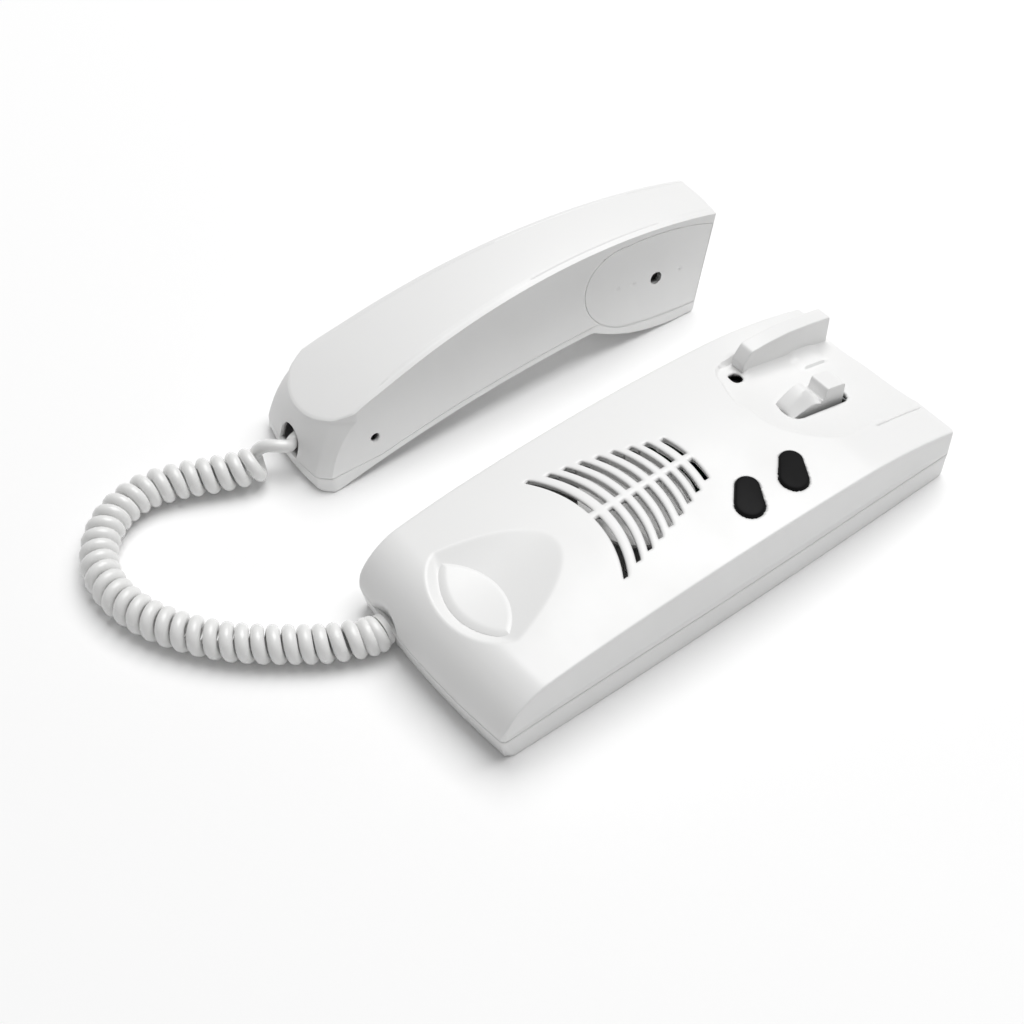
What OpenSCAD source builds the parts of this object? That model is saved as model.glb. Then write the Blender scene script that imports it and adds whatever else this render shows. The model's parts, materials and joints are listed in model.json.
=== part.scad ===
// Wall intercom station: a base with a cradle, two push buttons and a ringer, a curved handset
// and the curly cord between them. Millimetres, the base lies on its back face, +Z is out of the wall,
// +Y runs up the wall to the cradle end and the handset lies beside the base on its inner face.

/* [Base] */
// Length of the base along the wall, corner to corner
base_l = 200; // [180:1:230]
// Greatest width of the base, half way along
base_w = 82; // [76:1:96]
// How far the long sides bow outwards
side_bow = 1.5; // [0.5:0.1:3]
// How far the foot end bows outwards
end_bow = 2; // [1:0.1:4]
// Corner radius in plan
corner_r = 4; // [2:0.5:8]
// Height of the line where the cover meets the back plate
parting_z = 13; // [11:0.5:16]
// Height of the long top edges, half way along
edge_z = 33.6; // [32:0.1:40]
// Rise of the top face between its long edges
crown = 3; // [2:0.1:5]
// Wall thickness of the base mouldings
wall = 2.2; // [1.8:0.1:3]
// Radius of the foot end where the top rolls down
foot_round = 19; // [14:0.5:20]

/* [Cradle] */
// Radius of the earpiece seat's round lower end
seat_r = 26.75; // [24:0.25:30]
// Distance from the cradle end to the centre of that round end
seat_back = 30; // [26:1:36]
// Slope of the seat's floor in degrees
seat_slope = 13.8; // [10:0.1:16]
// Thickness of the hook fin
fin_t = 6; // [4:0.5:8]
// Length of the hook fin
fin_l = 40; // [30:1:44]
// Height of the hook fin above the seat
fin_h = 10; // [7:0.5:14]
// Width of the hook lever
lever_w = 8; // [6:0.5:10]
// Swing of the hook lever in degrees
lever_swing = 7; // [4:0.5:8]

/* [Buttons and grille] */
// Length of a push button
button_l = 17; // [14:0.5:20]
// Width of a push button at its broad end
button_w = 10.4; // [8:0.2:12]
// Travel of a push button
button_travel = 1.5; // [0.5:0.1:2]
// Distance between the two buttons
button_pitch = 20; // [19:0.5:24]
// Number of slot pairs in the grille
slot_pairs = 9; // [5:1:10]
// Distance from slot to slot
slot_pitch = 5.1; // [4:0.1:5.5]
// Width of a slot
slot_w = 1.8; // [1:0.1:2.4]
// Width of the spine between the slots
spine_w = 3.2; // [2:0.2:6]

/* [Handset] */
// Length of the handset at its inner face
hand_l = 170; // [160:1:185]
// Width of the inner face at the mouth end
hand_w = 45.6; // [40:0.2:50]
// Height of the crest of the back
hand_z = 49.5; // [44:0.5:54]
// Rise of the back between its long edges
hand_crown = 1.5; // [0.8:0.1:3]
// Wall thickness of the handset mouldings
hand_wall = 2; // [1.6:0.1:2.6]
// Height of the clear arch under the handle
arch_z = 13.3; // [10:0.1:16]
// Radius of the ear panels' round end
panel_r = 15; // [11:0.5:15.5]

/* [Cord] */
// Diameter of the curly cord's wire
wire_d = 4.2; // [3.4:0.1:4.2]
// Outer diameter of the curls
curl_d = 13.6; // [12:0.1:13.6]
// Number of curls
curls = 34; // [24:1:34]

/* [Hidden] */
$fn = 64;

// Clearances
gap = 0.2;
running = 0.05;
parting_gap = 0.15;
past = 1;
far = 400;

// Colours
shell_white = "#f2f2f1";
trim_black = "#1b1b1b";
board_green = "#2f6b45";
steel = "#b9bcc0";
rubber_grey = "#55575a";
dark_grey = "#3a3c3f";
brass = "#c9a75a";
can_blue = "#34507c";

// Base form
half_l = base_l / 2;
half_w = base_w / 2;
crown_r = (half_w * half_w + crown * crown) / (2 * crown);
mid_r = 800;
mid_half = 0.55 * half_l;
head_r = 195;
foot_r = 375;
end_r = (half_w * half_w + end_bow * end_bow) / (2 * end_bow);
slab_depth = 28;
core_drop = 14;
tall = 60;
side_steps = 16;
end_steps = 10;
arc_steps = 6;
join_a = asin(mid_half / mid_r);
join_z = edge_z - mid_r + mid_r * cos(join_a);

// Half the width of the base at y, drawn in by i
function side_x(y, i) = half_w - side_bow * pow(y / half_l, 2) - i;

// The foot end of the base at x, drawn in by i
function foot_y(x, i) = -half_l - end_bow * (1 - pow(x / half_w, 2)) + i;

// Points round a corner of radius r from angle a to angle b
function corner(x, y, r, a, b) = [
    for (k = [0:arc_steps])
        let (turn = a + (b - a) * k / arc_steps)
            [x + r * cos(turn), y + r * sin(turn)]
];

// Outline of the base in plan, drawn in by i
function right_half(i) =
    let (
        r = max(corner_r - i, 0.5),
        top = half_l - i,
        low_x = side_x(half_l, i),
        low = foot_y(low_x, i) + r,
        span = top - r - low
    ) concat(
        corner(low_x - r, top - r, r, 90, 0),
        [for (k = [1:side_steps - 1]) let (y = top - r - span * k / side_steps) [side_x(y, i), y]],
        corner(low_x - r, low, r, 0, -90),
        [for (k = [1:end_steps]) let (x = (low_x - r) * (1 - k / end_steps)) [x, foot_y(x, i)]]
    );
function mirrored(points) = [for (k = [len(points) - 2:-1:0]) [-points[k][0], points[k][1]]];

module base_outline(i) {
    polygon(concat(right_half(i), mirrored(right_half(i))));
}

// One stretch of the crowned top: a ring sector round an axis along X, from angle a to b off the vertical
module crowned_sector(centre, r, edge_crown, across_r, half, depth, a, b, i) {
    translate([0, centre[0], centre[1]])
        rotate([0, -90, 0])
            rotate([0, 0, a])
                rotate_extrude(angle = b - a, $fn = 96)
                    intersection() {
                        translate([r + edge_crown - across_r, 0])
                            circle(across_r - i, $fn = 128);
                        translate([r - depth, -half - past])
                            square([depth + edge_crown, 2 * (half + past)]);
                    }
}

module top_slabs(i) {
    head_a = asin((half_l + 2 * past - mid_half + head_r * sin(join_a)) / head_r);
    foot_a = asin((half_l + end_bow + 2 * past - mid_half + foot_r * sin(join_a)) / foot_r);
    translate([-half_w, -half_l - end_bow, 0])
        cube([base_w, base_l + end_bow, edge_z - core_drop]);
    crowned_sector([0, edge_z - mid_r], mid_r, crown, crown_r, half_w, slab_depth, -join_a, join_a, i);
    crowned_sector(
        [mid_half - head_r * sin(join_a), join_z - head_r * cos(join_a)],
        head_r, crown, crown_r, half_w, slab_depth, join_a, head_a, i
    );
    crowned_sector(
        [-mid_half + foot_r * sin(join_a), join_z - foot_r * cos(join_a)],
        foot_r, crown, crown_r, half_w, slab_depth, -foot_a, -join_a, i
    );
}

// The foot end rolls down to the parting line round a bowed edge
module foot_roll(i) {
    translate([0, end_r - half_l - end_bow, 0])
        rotate_extrude($fn = 128) {
            square([end_r - foot_round, tall]);
            square([end_r - i, parting_z]);
            intersection() {
                translate([end_r - foot_round, parting_z])
                    circle(foot_round - i);
                square([end_r, tall]);
            }
        }
}

module cover_form(i) {
    intersection() {
        translate([0, 0, parting_z - (i > 0 ? past : 0)])
            linear_extrude(tall)
                base_outline(i);
        top_slabs(i);
        foot_roll(i);
    }
}

// Height of the crowned top on the centre line of the base
function arc_z(r, d) = join_z - r * cos(join_a) + sqrt(r * r - pow(d - mid_half + r * sin(join_a), 2));
function ridge_z(y) =
    crown + (
        y > mid_half ? arc_z(head_r, y)
        : y < -mid_half ? arc_z(foot_r, -y)
        : edge_z - mid_r + sqrt(mid_r * mid_r - y * y)
    );
function top_z(x, y) = ridge_z(y) - crown_r + sqrt(pow(crown_r, 2) - x * x);

// Earpiece seat: a round-ended scoop with a sloping floor, open at the cradle end
seat_x = -1.25;
seat_y = half_l - seat_back;
seat_low = seat_y - seat_r;
function seat_z(y) = ridge_z(seat_low) - tan(seat_slope) * (y - seat_low);

module seat(grow, sink) {
    intersection() {
        linear_extrude(tall) {
            translate([seat_x, seat_y])
                circle(seat_r + grow);
            translate([seat_x - seat_r - grow, seat_y])
                square([2 * (seat_r + grow), seat_back + 2 * past]);
        }
        translate([0, seat_low, ridge_z(seat_low) - sink])
            rotate([-seat_slope, 0, 0])
                translate([-half_w, -tall, 0])
                    cube([base_w, 3 * tall, tall]);
    }
}

badge_in = 19;
badge_y = badge_in - half_l;
// Mouthpiece seat: a scoop that deepens towards the foot, with a blank almond plate at its low end
scoop_l = 32.5;
scoop_y = badge_y + scoop_l;
scoop_slope = 10.8;
scoop_r = 86;
badge_r = 23.5;
badge_half = 18.5;
badge_t = 1.2;
badge_tilt = 4.2;
badge_sink = 3.1;
module scoop(grow) {
    intersection() {
        translate([0, scoop_y, ridge_z(scoop_y)])
            rotate([90 + scoop_slope, 0, 0])
                translate([0, scoop_r, 0])
                    cylinder(h = 2 * base_w, r = scoop_r + grow, center = true, $fn = 128);
        translate([-half_w, badge_y - grow, 0])
            cube([base_w, tall, tall]);
    }
}
module badge_shape(grow) {
    offset_y = sqrt(badge_r * badge_r - badge_half * badge_half);
    intersection() {
        translate([0, offset_y])
            circle(badge_r + grow);
        translate([0, -offset_y])
            circle(badge_r + grow);
    }
}
module on_badge() {
    translate([0, badge_y, ridge_z(badge_y) - badge_sink])
        rotate([badge_tilt, 0, 0])
            children();
}

// Grille: pairs of curved slots either side of a spine, longest at the foot
grille_top = 9;
slot_r = 46;
first_half = 11.4;
last_half = 25.4;
module grille_slots() {
    for (k = [0:slot_pairs - 1]) {
        reach = first_half + (last_half - first_half) * k / (slot_pairs - 1);
        intersection() {
            translate([0, grille_top - k * slot_pitch - slot_r])
                difference() {
                    circle(slot_r, $fn = 128);
                    circle(slot_r - slot_w, $fn = 128);
                }
            for (side = [-1, 1])
                translate([side * (reach + spine_w / 2) / 2, grille_top - k * slot_pitch - slot_r / 4])
                    square([reach - spine_w / 2, slot_r / 2], center = true);
        }
    }
}

// Push buttons: egg-shaped caps on round stems
button_x = 25.3;
button_y = 13.5;
button_turn = -36;
button_rise = 1.4;
cap_flange = 1;
flange_t = 1.2;
stem_r = 2.5;
button_places = [[button_x, button_y], [button_x, button_y + button_pitch]];
egg_big = button_w / 2;
egg_small = egg_big - 1;
egg_reach = button_l - egg_big - egg_small;
egg_lean = acos((egg_big - egg_small) / egg_reach);
egg_dip = 0.02;
module egg(grow) {
    big = egg_big + grow;
    small = egg_small + grow;
    rotate(button_turn)
        translate([button_l / 2 - egg_big, 0]) {
            circle(big);
            translate([-egg_reach, 0])
                circle(small);
            polygon([
                [-(big - egg_dip) * cos(egg_lean), (big - egg_dip) * sin(egg_lean)],
                [-(big - egg_dip) * cos(egg_lean), -(big - egg_dip) * sin(egg_lean)],
                [-egg_reach - (small - egg_dip) * cos(egg_lean), -(small - egg_dip) * sin(egg_lean)],
                [-egg_reach - (small - egg_dip) * cos(egg_lean), (small - egg_dip) * sin(egg_lean)]
            ]);
        }
}
function button_top(p) = top_z(p[0], p[1]) + button_rise;
function flange_top(p) = top_z(p[0] + button_l / 2, p[1] + button_l / 2) - 1.2 * wall - gap;
function guide_floor(p) = flange_top(p) - flange_t - button_travel - 2 * gap;
guide_t = 1.4;

// Circuit board on bosses of the back plate
board_t = 1.6;
board_z = 7;
board_top = board_z + board_t;
board_x = 33;
board_low = 8;
board_high = half_l - 10;
boss_r = 3.5;
screw_r = 1.25;
screw_hole = 1.35;
head_rad = 2.7;
head_t = 2;
board_holes = [
    [board_x - 4, button_y + button_pitch / 2], [4 - board_x, button_y + button_pitch / 2],
    [board_x - 4, board_high - 6], [4 - board_x, board_high - 6]
];

// Cover screw, sunk beside the fin's lower end
cover_screw_at = [-20.5, seat_low + 7];
sunk_r = 3;
sunk_z = parting_z + 13;
tube_r = 4.6;
tube_end = parting_z + 6;

// Hook lever: a cam and a block on one arm that swings about a pin along X
pin_y = half_l - 17;
pin_z = 19.4;
pin_r = 1.5;
lever_x = 2;
lever_front = seat_low + 8.5;
lever_back = half_l - 22.5;
lug_t = 3;
lug_r = 3.6;
lever_side = 0.5;
lug_left = lever_x - lever_w / 2 - lever_side - lug_t;
lug_right = lever_x + lever_w / 2 + lever_side;
cam_y = lever_front + 9.5;
notch_y = cam_y + 6;
cam_rise = 5.6;
block_rise = 6.6;
notch_rise = 0.8;
arm_z = 17.8;
arm_t = 4;
hub_r = 2.9;
slot_right = 4;
slot_left = 1.5;
slot_front = 1.9;
slot_back = 2;
slot_r_in = 4;
lever_gap = 0.4;
press_y = pin_y - 18;
spring_y = pin_y - 26;

// Switches on the circuit board
tact = 6;
tact_h = 4;
tact_plunger_r = 1.7;
tact_plunger_h = 2.4;
tact_pocket = 2;
tact_top = board_top + tact_h;
hook_l = 10;
hook_w = 6;
hook_h = 4.5;
hook_plunger_w = 3;
hook_floor = 0.4;

// Ringer behind the grille
ringer_y = -13;
ringer_r = 20;
ringer_z = 28.5;
ringer_t = 1.5;
ringer_top = ringer_z + ringer_t - gap / 2;
ring_wall = 3;
cup_z = 22;
cup_r = 10;
magnet_r = 9;
magnet_t = 6;
skin = 1;
cone_t = 0.5;

// Wall fixing and cable entry in the back plate
wall_screw_y = -35;
wall_screw_pitch = 60;
wall_screw_r = 2.1;
entry_w = 32;
entry_l = 30;

// Cord ends
exit_x = -22;
exit_z = 7.4;
grommet_r = 4;
grommet_flange = 1.6;
grommet_out = 2;
grommet_off = 0.32;

module hole(at, r, low, high) {
    translate([at[0], at[1], low])
        cylinder(h = high - low, r = r);
}

// Back plate: an open tray with a raised floor edge, bosses, wall screw holes and a cable entry
module back_plate() {
    color(shell_white) {
        difference() {
            union() {
                difference() {
                    linear_extrude(parting_z - parting_gap)
                        base_outline(0);
                    translate([0, 0, wall])
                        linear_extrude(parting_z)
                            base_outline(wall);
                }
                for (at = board_holes)
                    hole(at, boss_r, wall / 2, board_z);
                hole(cover_screw_at, boss_r, wall / 2, tube_end - gap);
            }
            for (at = board_holes)
                hole(at, screw_hole, wall, board_z + past);
            hole(cover_screw_at, screw_hole, wall, tube_end + past);
            for (side = [-1, 1])
                hole([side * wall_screw_pitch / 2, wall_screw_y], wall_screw_r, -past, wall + past);
            translate([-entry_w / 2, wall_screw_y - entry_l / 2, -past])
                cube([entry_w, entry_l, wall + 2 * past]);
            translate([exit_x, foot_y(exit_x, 0) - past, exit_z])
                rotate([-90, 0, 0])
                    cylinder(h = wall + 2 * past, r = grommet_r);
        }
    }
}

// Fin profile along the seat, seen from the side
fin_y = half_l - 4 - fin_l;
fin_x = seat_x - seat_r + 1;
fin_nose = 5;
fin_foot = 4;
module hook_fin() {
    translate([fin_x, 0, 0])
        rotate([90, 0, 90])
            linear_extrude(fin_t)
                polygon([
                    [fin_y - fin_foot, seat_z(fin_y - fin_foot) - wall],
                    [fin_y - fin_foot, top_z(fin_x, fin_y)],
                    [fin_y + fin_nose / 2, seat_z(fin_y) + fin_h - 1],
                    [fin_y + fin_l / 2, seat_z(fin_y + fin_l / 2) + fin_h + 1],
                    [fin_y + fin_l, seat_z(fin_y + fin_l) + fin_h],
                    [fin_y + fin_l - 1, seat_z(fin_y + fin_l) - wall]
                ]);
}

// Cups under the cover that guide the buttons' lips and stems
module button_guides() {
    difference() {
        for (p = button_places)
            translate([p[0], p[1], guide_floor(p) - guide_t])
                linear_extrude(tall)
                    egg(cap_flange + gap + guide_t);
        for (p = button_places) {
            translate([p[0], p[1], guide_floor(p)])
                linear_extrude(tall)
                    egg(cap_flange + gap);
            hole(p, stem_r + gap, 0, tall);
        }
    }
}

// Opening in the seat for the hook lever, with rounded corners
module lever_opening() {
    left = lever_x - lever_w / 2 - slot_left + slot_r_in;
    right = lever_x + lever_w / 2 + slot_right - slot_r_in;
    front = lever_front - slot_front + slot_r_in;
    back = lever_back + slot_back - slot_r_in;
    translate([0, 0, pin_z])
        linear_extrude(tall) {
            for (x = [left, right])
                for (y = [front, back])
                    translate([x, y])
                        circle(slot_r_in);
            translate([left - slot_r_in, front])
                square([right - left + 2 * slot_r_in, back - front]);
            translate([left, front - slot_r_in])
                square([right - left, back - front + 2 * slot_r_in]);
        }
}

module lever_lugs() {
    for (side = [0, 1])
        translate([side == 0 ? lug_left : lug_right, pin_y, 0])
            difference() {
                union() {
                    translate([0, 0, pin_z])
                        rotate([0, 90, 0])
                            cylinder(h = lug_t, r = lug_r);
                    translate([0, -lug_r, pin_z])
                        cube([lug_t, 2 * lug_r, seat_z(pin_y - lug_r) - pin_z]);
                }
                translate([-past, 0, pin_z])
                    rotate([0, 90, 0])
                        cylinder(h = lug_t + 2 * past, r = pin_r + running);
            }
}

// Front cover: a crowned shell with the two seats, the fin, the grille and its inner bosses
module front_cover() {
    color(shell_white) {
        difference() {
            union() {
                difference() {
                    cover_form(0);
                    difference() {
                        cover_form(wall);
                        seat(wall, wall);
                        scoop(wall);
                        on_badge()
                            translate([0, 0, -wall / 2])
                                linear_extrude(tall / 2)
                                    badge_shape(wall / 2);
                    }
                    seat(0, 0);
                    scoop(0);
                    translate([0, 0, ringer_z])
                        linear_extrude(tall)
                            grille_slots();
                }
                intersection() {
                    cover_form(wall / 2);
                    union() {
                        translate([0, ringer_y, ringer_z + ringer_t])
                            difference() {
                                cylinder(h = tall, r = ringer_r);
                                translate([0, 0, -past])
                                    cylinder(h = tall + 2 * past, r = ringer_r - ring_wall);
                                for (side = [-1, 1])
                                    translate([side * ringer_r, 0, 0])
                                        cube([ringer_r, ringer_r, 2 * tall], center = true);
                            }
                        button_guides();
                    }
                }
                hook_fin();
                intersection() {
                    hole(cover_screw_at, tube_r, tube_end, seat_z(cover_screw_at[1]));
                    cover_form(wall / 2);
                }
                difference() {
                    lever_lugs();
                    seat(0, 0);
                }
            }
            hole(cover_screw_at, sunk_r, sunk_z, tall);
            hole(cover_screw_at, screw_hole + gap, tube_end - past, tall);
            lever_opening();
            on_badge()
                linear_extrude(tall / 2)
                    badge_shape(gap);
            for (p = button_places)
                translate([p[0], p[1], flange_top(p)])
                    linear_extrude(tall)
                        egg(gap);
        }
    }
}

module badge_plate() {
    color(shell_white)
        on_badge()
            linear_extrude(badge_t)
                badge_shape(0);
}

module screw(r, shank, head, thick) {
    cylinder(h = thick, r = head);
    translate([0, 0, -shank])
        cylinder(h = shank, r = r);
}

module cover_screw() {
    color(steel)
        difference() {
            translate([cover_screw_at[0], cover_screw_at[1], sunk_z])
                screw(screw_r, sunk_z - wall - 2 * past, head_rad, head_t);
            translate([cover_screw_at[0], cover_screw_at[1], sunk_z + head_t])
                cube([2 * head_rad - past, screw_r / 2, head_t], center = true);
        }
}

// Rubber grommet in the foot end with the cord's end against it
module cord_grommet() {
    color(rubber_grey)
        translate([exit_x, exit_face, exit_z])
            rotate([-90, 0, 0]) {
                cylinder(h = grommet_out, r = grommet_r + grommet_flange);
                cylinder(h = grommet_out + grommet_off + wall + past, r = grommet_r - gap / 2);
            }
}

module circuit_board() {
    color(board_green)
        difference() {
            translate([-board_x, board_low, board_z])
                cube([2 * board_x, board_high - board_low, board_t]);
            for (at = board_holes)
                hole(at, screw_hole + gap, board_z - past, board_top + past);
            hole(cover_screw_at, boss_r + past, board_z - past, board_top + past);
        }
}

module board_screws() {
    color(steel)
        for (at = board_holes)
            translate([at[0], at[1], board_top])
                screw(screw_r, board_top - wall - past, head_rad, head_t);
}

// Terminal block with one clamp screw to each way
term_ways = 5;
term_pitch = 5;
term_l = 8;
term_h = 9;
term_y = board_low + 1;
term_screw_r = 1.6;
term_screw_h = 3;
term_top = board_top + term_h;
function term_x(k) = (k - (term_ways - 1) / 2) * term_pitch;
function term_at(k) = [term_x(k), term_y + term_l / 2];
module terminal_block() {
    color(board_green)
        difference() {
            translate([-term_ways * term_pitch / 2, term_y, board_top])
                cube([term_ways * term_pitch, term_l, term_h]);
            for (k = [0:term_ways - 1]) {
                hole(term_at(k), term_screw_r + gap, term_top - term_screw_h, term_top + past);
                translate([term_x(k), term_y - past, board_top + term_h / 3])
                    cube([term_pitch / 2, term_l, term_h / 3], center = true);
            }
        }
}

module terminal_screws() {
    color(steel)
        for (k = [0:term_ways - 1])
            difference() {
                hole(term_at(k), term_screw_r, term_top - term_screw_h, term_top - gap);
                translate([term_x(k), term_y + term_l / 2, term_top])
                    cube([2 * term_screw_r + past, term_screw_r / 2, past], center = true);
            }
}

can_r = 4;
can_h = 9;
can_places = [[-15, term_y + term_l + 12], [-5, term_y + term_l + 12]];
module capacitors() {
    color(can_blue)
        for (at = can_places)
            hole(at, can_r, board_top, board_top + can_h);
}

// A switch body with a round pocket for its plunger
module tact_body(p) {
    color(dark_grey)
        difference() {
            translate([p[0] - tact / 2, p[1] - tact / 2, board_top])
                cube([tact, tact, tact_h]);
            hole(p, tact_plunger_r + gap, tact_top - tact_pocket - button_travel, tact_top + past);
        }
}
module tact_plunger(p) {
    color(trim_black)
        hole(p, tact_plunger_r, tact_top - tact_pocket + gap, tact_top + tact_plunger_h);
}
module door_switch() { tact_body(button_places[1]); }
module door_plunger() { tact_plunger(button_places[1]); }
module aux_switch() { tact_body(button_places[0]); }
module aux_plunger() { tact_plunger(button_places[0]); }

// A black cap with a lip under the cover and a stem down to its switch
module push_button(p) {
    color(trim_black)
        translate([p[0], p[1], 0]) {
            translate([0, 0, flange_top(p) - flange_t])
                linear_extrude(flange_t)
                    egg(cap_flange);
            translate([0, 0, flange_top(p) - flange_t])
                linear_extrude(button_top(p) - flange_top(p) + flange_t)
                    egg(0);
            translate([0, 0, tact_top + tact_plunger_h])
                cylinder(h = flange_top(p) - tact_top - tact_plunger_h, r = stem_r);
        }
}
module door_button() { push_button(button_places[1]); }
module aux_button() { push_button(button_places[0]); }

// Hook lever, drawn as its side profile along Y, with a hub round the pin
module hook_lever() {
    color(shell_white)
        difference() {
            union() {
                translate([lever_x - lever_w / 2, 0, 0])
                    rotate([90, 0, 90])
                        linear_extrude(lever_w)
                            polygon([
                                [lever_front, arm_z + arm_t],
                                [lever_front, seat_z(lever_front) - 1],
                                [lever_front + 3, seat_z(lever_front) + 2],
                                [cam_y - 2, seat_z(cam_y) + cam_rise],
                                [cam_y + 1, seat_z(cam_y) + cam_rise],
                                [notch_y - 1, seat_z(notch_y) + notch_rise],
                                [notch_y, seat_z(notch_y) + notch_rise],
                                [notch_y + 1, seat_z(notch_y) + block_rise],
                                [lever_back - 1, seat_z(lever_back) + block_rise],
                                [lever_back, seat_z(lever_back) + block_rise - 1],
                                [lever_back, arm_z + arm_t],
                                [pin_y, arm_z + arm_t],
                                [pin_y, arm_z],
                                [lever_front + 2, arm_z]
                            ]);
                translate([lever_x - lever_w / 2, pin_y, pin_z])
                    rotate([0, 90, 0])
                        cylinder(h = lever_w, r = hub_r);
            }
            translate([lever_x - lever_w, pin_y, pin_z])
                rotate([0, 90, 0])
                    cylinder(h = 2 * lever_w, r = pin_r + running);
        }
}

module lever_pin() {
    color(steel)
        translate([lug_left, pin_y, pin_z])
            rotate([0, 90, 0])
                cylinder(h = lug_right + lug_t - lug_left, r = pin_r);
}

module hook_switch() {
    color(dark_grey)
        difference() {
            translate([lever_x - hook_w / 2, press_y - hook_l / 2, board_top])
                cube([hook_w, hook_l, hook_h]);
            translate([lever_x, press_y, board_top + hook_floor + hook_h / 2])
                cube([hook_plunger_w + 2 * gap, hook_plunger_w + 2 * gap, hook_h], center = true);
        }
}

module hook_plunger() {
    color(trim_black)
        translate([lever_x - hook_plunger_w / 2, press_y - hook_plunger_w / 2, board_top + hook_h - past])
            cube([hook_plunger_w, hook_plunger_w, arm_z - lever_gap - board_top - hook_h + past]);
}

// Tubes swept along points: rings of points round each point of a path, joined by triangles
function unit(v) = v / norm(v);
function along(path, k) = unit(path[min(k + 1, len(path) - 1)] - path[max(k - 1, 0)]);
function ring_side(t) = unit(abs(t[2]) > 0.9 ? cross([1, 0, 0], t) : cross([0, 0, 1], t));
module swept(path, r, sides) {
    rings = len(path);
    points = [
        for (k = [0:rings - 1])
            let (t = along(path, k), u = ring_side(t), v = cross(t, u))
                for (j = [0:sides - 1]) path[k] + r * (cos(360 * j / sides) * u + sin(360 * j / sides) * v)
    ];
    sides_of = [
        for (k = [0:rings - 2])
            for (j = [0:sides - 1])
                let (a = k * sides + j, b = k * sides + (j + 1) % sides)
                    each [[a, a + sides, b], [b, a + sides, b + sides]]
    ];
    low_end = [for (j = [1:sides - 2]) [0, j, j + 1]];
    last = (rings - 1) * sides;
    high_end = [for (j = [1:sides - 2]) [last, last + j + 1, last + j]];
    polyhedron(points, concat(sides_of, low_end, high_end));
}

// Compression spring between the board and the lever's arm
spring_r = 2.4;
spring_wire = 0.7;
spring_turns = 5;
spring_rings = 12;
spring_low = board_top + spring_wire / 2 + gap;
spring_high = arm_z - spring_wire / 2 - gap;
spring_path = [
    for (k = [0:spring_turns * spring_rings])
        let (a = 360 * k / spring_rings)
            [
                lever_x + spring_r * cos(a), spring_y + spring_r * sin(a),
                spring_low + (spring_high - spring_low) * k / (spring_turns * spring_rings)
            ]
];
module lever_spring() {
    color(steel)
        swept(spring_path, spring_wire / 2, 6);
}

// Ringer: a flanged cup with a magnet behind and a paper cone in front
module ringer_frame() {
    color(dark_grey)
        translate([0, ringer_y, 0])
            rotate_extrude()
                polygon([
                    [magnet_r / 2, cup_z], [cup_r, cup_z],
                    [ringer_r - ring_wall, ringer_z], [ringer_r, ringer_z],
                    [ringer_r, ringer_top], [ringer_r - ring_wall - skin, ringer_top],
                    [cup_r - skin, cup_z + skin], [magnet_r / 2, cup_z + skin]
                ]);
}
module ringer_magnet() {
    color(steel)
        hole([0, ringer_y], magnet_r, cup_z - magnet_t, cup_z);
}
module ringer_cone() {
    color(trim_black)
        translate([0, ringer_y, 0])
            rotate_extrude()
                polygon([
                    [0, cup_z + 3 * skin], [cup_r - 2 * skin, cup_z + 3 * skin],
                    [ringer_r - ring_wall - skin - gap, ringer_top - gap],
                    [ringer_r - ring_wall - skin - gap - cone_t, ringer_top - gap],
                    [cup_r - 2 * skin - cone_t, cup_z + 3 * skin + cone_t], [0, cup_z + 3 * skin + cone_t]
                ]);
}

// Handset place and form. Its own frame has Y along it from the mouth end and Z out of its inner face
hand_at = [-109.5, -78, 0];
hand_turn = -4.8;
hand_taper = atan(0.04);
hand_draft = atan(0.1);
back_r = 257;
crest_y = 0.65 * hand_l;
back_half = 24;
back_depth = 60;
arch_r = 540;
arch_y = hand_l - 47;
lump_r = 76;
lump_y = hand_l - 10;
ear_lean = 16;
ear_foot = 3.5;
mouth_back = 27;
mouth_r = 33;
mouth_slope = 0.225;
mouth_lip = 3;
front_lip = 3.2;
front_mouth_z = 7;
profile_steps = 90;
panel_sit = 0.18;
hand_low = -8;
hand_high = hand_l + 14;
hand_half = hand_w / 2;
back_cross_r = (back_half * back_half + hand_crown * hand_crown) / (2 * hand_crown);

function arch_at(y) = arch_z - arch_r + sqrt(arch_r * arch_r - pow(y - arch_y, 2));
function lump_at(y) = y > lump_y ? 0 : lump_r - sqrt(max(lump_r * lump_r - pow(y - lump_y, 2), 0));
function mouth_at(y) = y < 0 ? mouth_lip * pow(y / hand_low, 2) : 0;
function near_lump(y) = lump_y - y < lump_r * 0.7;
function inner_at(y) = max(near_lump(y) ? min(arch_at(y), lump_at(y)) : max(arch_at(y), 0), mouth_at(y));
function panel_low(y) =
    y < panel_at_y - panel_r ? far
    : y < panel_at_y + panel_r * sin(panel_turn) ? panel_at_z - sqrt(pow(panel_r, 2) - pow(y - panel_at_y, 2))
    : panel_at_z - panel_r / cos(panel_turn) + tan(panel_turn) * (y - panel_at_y);
function parting_at(y) = min(max(front_mouth_z, arch_at(y) + front_lip), panel_low(y) - panel_sit);
function profile_y(k) = hand_low + (hand_high - hand_low) * k / profile_steps;

module place_handset() {
    translate(hand_at)
        rotate([0, 0, hand_turn])
            children();
}

// The space above the inner face's profile, raised by i
module above_inner(i) {
    rotate([90, 0, 90])
        linear_extrude(2 * hand_w, center = true)
            polygon(concat(
                [for (k = [0:profile_steps]) [profile_y(k), inner_at(profile_y(k)) + i]],
                [[hand_high, 2 * tall], [hand_low, 2 * tall]]
            ));
}

// The space above the line where the two shells meet
module above_parting(lift) {
    rotate([90, 0, 90])
        linear_extrude(2 * hand_w, center = true)
            polygon(concat(
                [for (k = [0:profile_steps]) [profile_y(k), parting_at(profile_y(k)) + lift]],
                [[hand_high, 2 * tall], [hand_low, 2 * tall]]
            ));
}

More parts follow.
